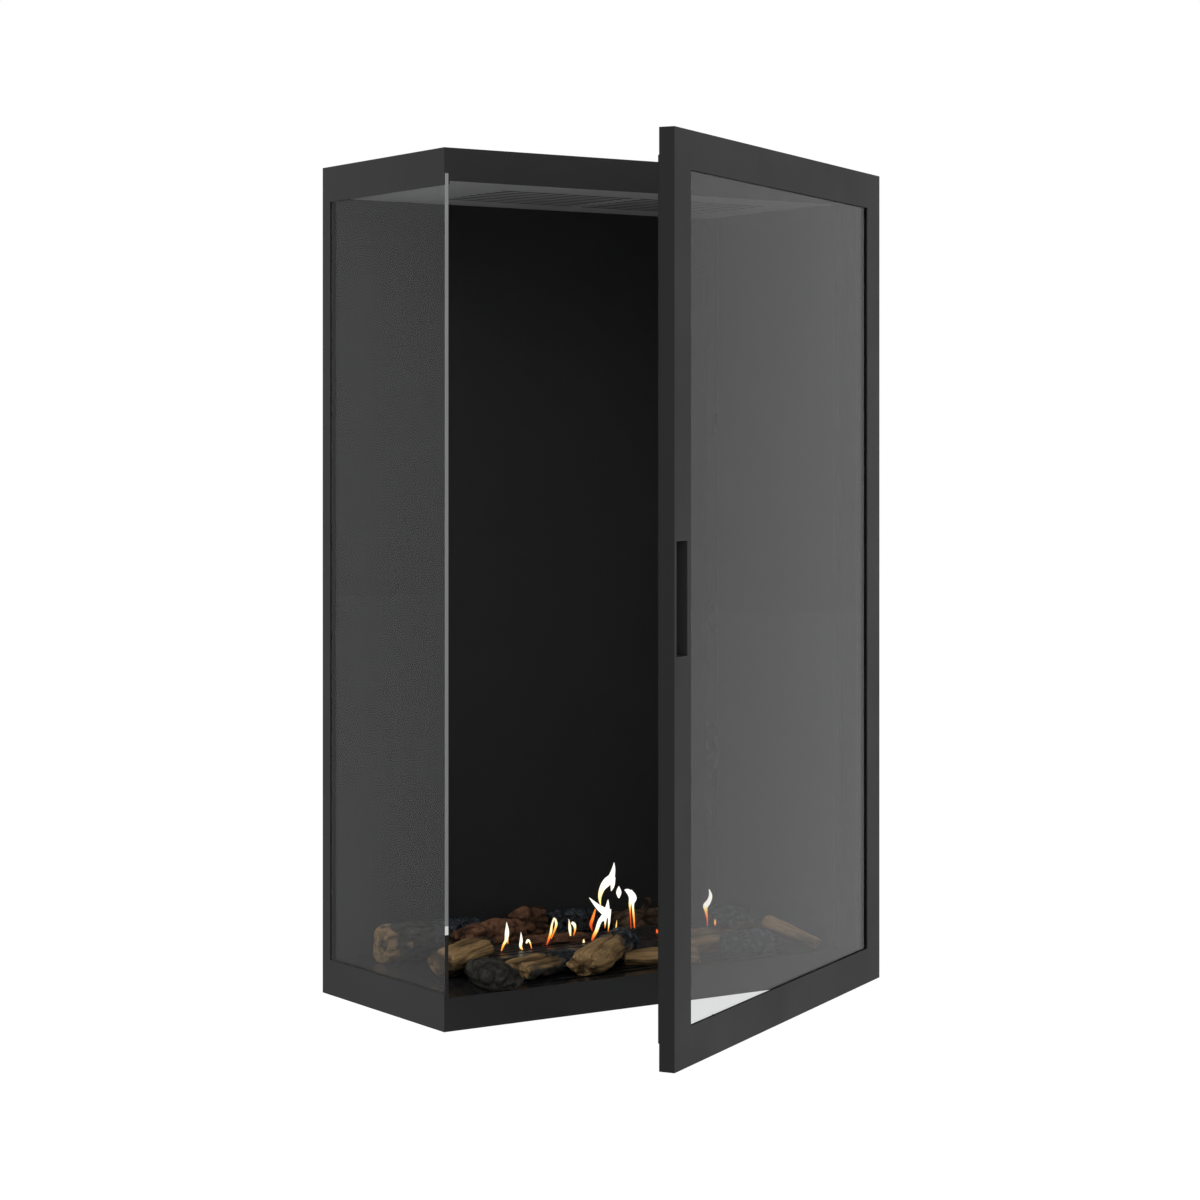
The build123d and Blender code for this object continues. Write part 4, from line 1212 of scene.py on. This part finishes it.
@dataclass
class Flame:
    """One tongue of flame: a flattened tube along a line from its root up.

    Its stations are millimetres from the left, millimetres up and half its width; heat runs from root to tip.
    """

    name: str
    y: float
    heat: tuple[float, float]
    stations: list[Point]

    def samples(self, steps: int) -> list[tuple[float, float, float]]:
        """Round the line and its width off between the given points.

        Args:
            steps: Divisions of each stretch.

        Returns:
            Across, up and half width of each station, in millimetres.
        """
        ends = [self.stations[0], *self.stations, self.stations[-1]]
        out = []
        for i in range(1, len(ends) - 2):
            for k in range(steps + (i == len(ends) - 3)):
                t = k / steps
                a, b, c, d = ends[i - 1 : i + 3]
                out.append(tuple(between(*parts, t) for parts in zip(a, b, c, d)))
        return out

    def build(self, material: bpy.types.Material) -> bpy.types.Object:
        """Make the flame as a closed mesh that carries its heat.

        Args:
            material: The flame's material.

        Returns:
            The finished piece.
        """
        stations = self.samples(FLAME_STEPS)
        sides = FLAME_SIDES
        verts: list[Vector] = []
        heat: list[float] = []
        for i, (x, z, w) in enumerate(stations):
            before, after = stations[max(0, i - 1)], stations[min(len(stations) - 1, i + 1)]
            run = Vector((after[0] - before[0], 0, after[1] - before[1])).normalized()
            across = Vector((run.z, 0, -run.x))
            risen = smooth(0.0, HOT_FROM, i / (len(stations) - 1))
            share = self.heat[0] + (self.heat[1] - self.heat[0]) * risen
            for k in range(sides):
                angle = 2 * math.pi * k / sides
                half = max(w, THINNEST_FLAME)
                deep = Vector((0, 1, 0)) * (FLATNESS * half * math.sin(angle))
                offset = across * (half * math.cos(angle)) + deep
                verts.append(bed(x + offset.x, self.y + offset.y, z + offset.z))
                heat.append(share)
        faces = [
            (ring + k, ring + (k + 1) % sides, ring + sides + (k + 1) % sides, ring + sides + k)
            for ring in range(0, sides * (len(stations) - 1), sides)
            for k in range(sides)
        ]
        faces.append(tuple(range(sides)))
        faces.append(tuple(range(len(verts) - 1, len(verts) - sides - 1, -1)))
        mesh = bpy.data.meshes.new("flame_" + self.name)
        mesh.from_pydata([tuple(v) for v in verts], [], faces)
        work = bmesh.new()
        work.from_mesh(mesh)
        bmesh.ops.recalc_face_normals(work, faces=work.faces)
        work.to_mesh(mesh)
        work.free()
        mesh.attributes.new("warmth", "FLOAT", "POINT").data.foreach_set("value", heat)
        mesh.shade_smooth()
        piece = mesh_object("flame_" + self.name, mesh)
        dress(piece, material)
        finish_piece(piece, "casing", "log_ceramic")
        return piece


# Every tongue over the burner.
FLAMES = (
    Flame("left_tall", 150, (0.45, 1), [
        (174, 59, 0.8), (177, 66, 1.7), (181, 72, 2.2), (182.5, 82, 3), (182, 95, 0.2),
    ]),
    Flame("left_tall_foot", 150, (0.4, 0.95), [(184, 67, 0.5), (183, 74, 1.4), (182.5, 80, 2)]),
    Flame("left_short", 150, (0.25, 1), [
        (208, 50, 0.5), (206, 57, 1), (203, 62, 2), (204, 70, 2.1), (203.5, 80, 0.2),
    ]),
    Flame("left_hook", 150, (0.2, 0.95), [
        (221, 53, 0.4), (219, 60, 0.8), (217, 66, 1.2), (214, 68.5, 1.7), (211.5, 65, 1.2),
    ]),
    Flame("ring_left", 160, (0.1, 0.85), [
        (249, 58, 0.6), (252, 64, 1.6), (255.5, 73, 1.9), (257, 82, 1.5), (260, 91, 1),
    ]),
    Flame("ring_right", 160, (0.35, 0.9), [
        (256, 65, 0.6), (261, 75, 1.4), (264, 83, 1.8), (262.5, 89, 1.5), (260, 92, 0.5),
    ]),
    Flame("middle", 160, (0.15, 0.9), [
        (291, 50, 0.5), (289, 58, 1.2), (286, 67, 1.1), (285, 76, 2.2), (283.5, 88, 0.3),
    ]),
    Flame("middle_side", 160, (0.25, 0.95), [
        (290, 64, 0.4), (293, 73, 1.4), (292, 80, 2.3), (288, 83, 1.8),
    ]),
    Flame("spark", 150, (0.3, 0.85), [(300, 53, 0.5), (300, 57.5, 1.8), (300, 62, 0.4)]),
    Flame("swirl", 160, (0.75, 1.2), [
        (333, 102, 0.6), (332, 113, 2.6), (336, 124, 4.4), (343, 131, 6), (350, 137, 4.8),
        (353.5, 147, 2.7), (354.5, 156, 0.3),
    ]),
    Flame("swirl_lobe", 160, (1.1, 1.2), [(350, 119, 0.5), (352, 126, 3), (353, 137, 3.4)]),
    Flame("horn", 160, (1, 1.15), [(345, 86, 3.2), (340, 92, 5), (328, 101, 3.2), (315.5, 113, 0.4)]),
    Flame("body", 160, (0.2, 1.2), [
        (319, 56, 0.6), (322, 62, 2.2), (327, 70, 2.6), (332, 81, 3), (342, 90, 4.8), (345, 108, 0.5),
    ]),
    Flame("body_leg", 160, (0.3, 1.15), [(340, 71, 0.4), (340.5, 79, 1.5), (341, 92, 3)]),
    Flame("body_edge", 160, (0.35, 1.2), [(345, 66, 0.4), (346.5, 78, 1.5), (347, 95, 2.8)]),
    Flame("red", 166, (0.02, 0.4), [(324, 68, 0.5), (322, 77, 2.3), (325, 85, 2.2), (329, 96, 1)]),
    Flame("drop", 160, (1.1, 1.2), [(362, 108.5, 0.8), (362, 116, 3.9), (362, 124, 0.6)]),
    Flame("right_head", 160, (0.02, 1.25), [
        (382, 60, 0.4), (380.5, 85, 0.9), (380, 98, 2), (382, 109, 4), (377, 116, 3.2), (371.5, 118.5, 0.8),
    ]),
    Flame("right_side", 160, (0.2, 1.25), [
        (388, 58, 0.5), (386, 80, 1.4), (384.5, 98, 1.7), (387, 107, 3.2), (381, 117, 1.6),
    ]),
    Flame("thin", 160, (0.6, 0.7), [(357, 65, 0.6), (358, 73, 0.9), (359, 80, 0.2)]),
    Flame("ember", 160, (0.1, 0.3), [(426, 53, 0.8), (424, 58, 2), (422.5, 62, 0.6)]),
    Flame("far", 140, (0.1, 1.2), [
        (489, 63, 0.6), (489, 73, 1.2), (487, 84, 2.4), (486.5, 90, 4.0), (491.5, 95.5, 3.4),
        (494.5, 103, 2.6), (492, 112, 0.4),
    ]),
    Flame("far_spark", 140, (0.2, 0.6), [(502, 62, 0.6), (502, 66, 1.6), (502, 71, 0.4)]),
)


@dataclass
class Fire:
    """The flames over the burner, each from its root upwards."""

    flames: tuple[Flame, ...] = field(default=FLAMES)

    def build(self) -> None:
        """Make every flame in one material."""
        material = FlameFinish("burning_gas", 1.25).material()
        for flame in self.flames:
            flame.build(material)


# The rays that see the white surroundings and the glowing floor.
SEEN_RAYS = ("Is Camera Ray", "Is Glossy Ray", "Is Transmission Ray")


@dataclass
class Studio:
    """Pale floor, soft lamps, white surroundings and the camera.

    The heading is in degrees. The eye is in millimetres, from the same corner as the log bed's points.
    """

    heading: float = 33.9
    eye: Point = (-1754.28, -2945.02, 695.0)
    lens: float = 85.76
    shift: float = -0.1234
    ambient: float = 0.62
    floor_reach: float = 9.0
    floor_glow: float = 1.12
    glow_share: float = 0.86

    def build(self) -> None:
        """Make the surroundings."""
        self.surroundings()
        self.ground()
        self.lamp("lamp_left", (-2.4, -1.2, 2.6), (0.0, 0.0, 0.6), 2.0, 26.0)
        self.lamp("lamp_front", (0.6, -3.2, 2.2), (0.0, 0.0, 0.5), 2.4, 22.0)
        self.view()
    def surroundings(self) -> None:
        """Light evenly, and show white to the camera, to gloss and through glass."""
        world = bpy.data.worlds.new("surroundings")
        bpy.context.scene.world = world
        world.use_nodes = True
        bench = NodeBench(world.node_tree)
        bench.tree.nodes.clear()
        white = (1.0, 1.0, 1.0, 1.0)
        even = bench.node("Background", Color=white, Strength=self.ambient)
        plain = bench.node("Background", Color=white)
        both = bench.blend(bench.rays(*SEEN_RAYS), even.outputs[0], plain.outputs[0])
        bench.node("OutputWorld", Surface=both)

    def ground(self) -> None:
        """Lay a pale floor that turns white to the camera and keeps a soft shadow."""
        mesh = bpy.data.meshes.new("floor")
        size = self.floor_reach
        corner_points = [(-size, -size, 0), (size, -size, 0), (size, size, 0), (-size, size, 0)]
        mesh.from_pydata(corner_points, [], [(0, 1, 2, 3)])
        floor = mesh_object("floor", mesh)
        sheet = ShaderSheet("pale_floor")
        sheet.coat((0.8, 0.8, 0.8, 1.0), 0.9, Specular_IOR_Level=0.0)
        glow = sheet.node("Emission", Strength=self.floor_glow)
        share = sheet.calc("MULTIPLY", sheet.rays(*SEEN_RAYS), self.glow_share)
        sheet.show(sheet.blend(share, sheet.main.outputs["BSDF"], glow.outputs[0]))
        dress(floor, sheet.material)

    @staticmethod
    def lamp(name: str, place: Point, aim: Point, size: float, power: float) -> None:
        """Hang a soft square lamp.

        Args:
            name: The lamp's name.
            place: Where it hangs.
            aim: What it faces.
            size: Its side in metres.
            power: Its power in watts.
        """
        data = bpy.data.lights.new(name, "AREA")
        data.energy = power
        data.size = size
        lamp = bpy.data.objects.new(name, data)
        bpy.context.scene.collection.objects.link(lamp)
        turn = (Vector(aim) - Vector(place)).to_track_quat("-Z", "Y")
        lamp.matrix_world = Matrix.Translation(place) @ turn.to_matrix().to_4x4()
        lamp.visible_camera = False
        lamp.visible_glossy = False

    def view(self) -> None:
        """Set up the camera."""
        data = bpy.data.cameras.new("camera")
        data.lens = self.lens
        data.sensor_width = 36.0
        data.shift_y = self.shift
        data.clip_end = 60.0
        camera = bpy.data.objects.new("camera", data)
        bpy.context.scene.collection.objects.link(camera)
        camera.location = bed(*self.eye)
        camera.rotation_euler = (math.radians(90), 0, -math.radians(self.heading))
        bpy.context.scene.camera = camera


def main() -> None:
    """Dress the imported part, build the log bed and the fire, and light them."""
    logging.basicConfig(level=logging.INFO, format="%(message)s")
    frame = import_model()
    effects = Effects()
    nodes = frame["nodes"]
    Casing(effects).dress_all(nodes)
    Door(effects).dress_all(nodes)
    screws = Screws(effects)
    screws.build("dressed_casing_screws", nodes["casing_screws"], "casing")
    screws.build("dressed_retainer_screws", nodes["retainer_screws"], "door")
    LogBed(effects).build(nodes)
    Fire().build()
    Studio().build()
    bpy.context.scene.view_settings.view_transform = "Standard"


if __name__ == "__main__":
    main()
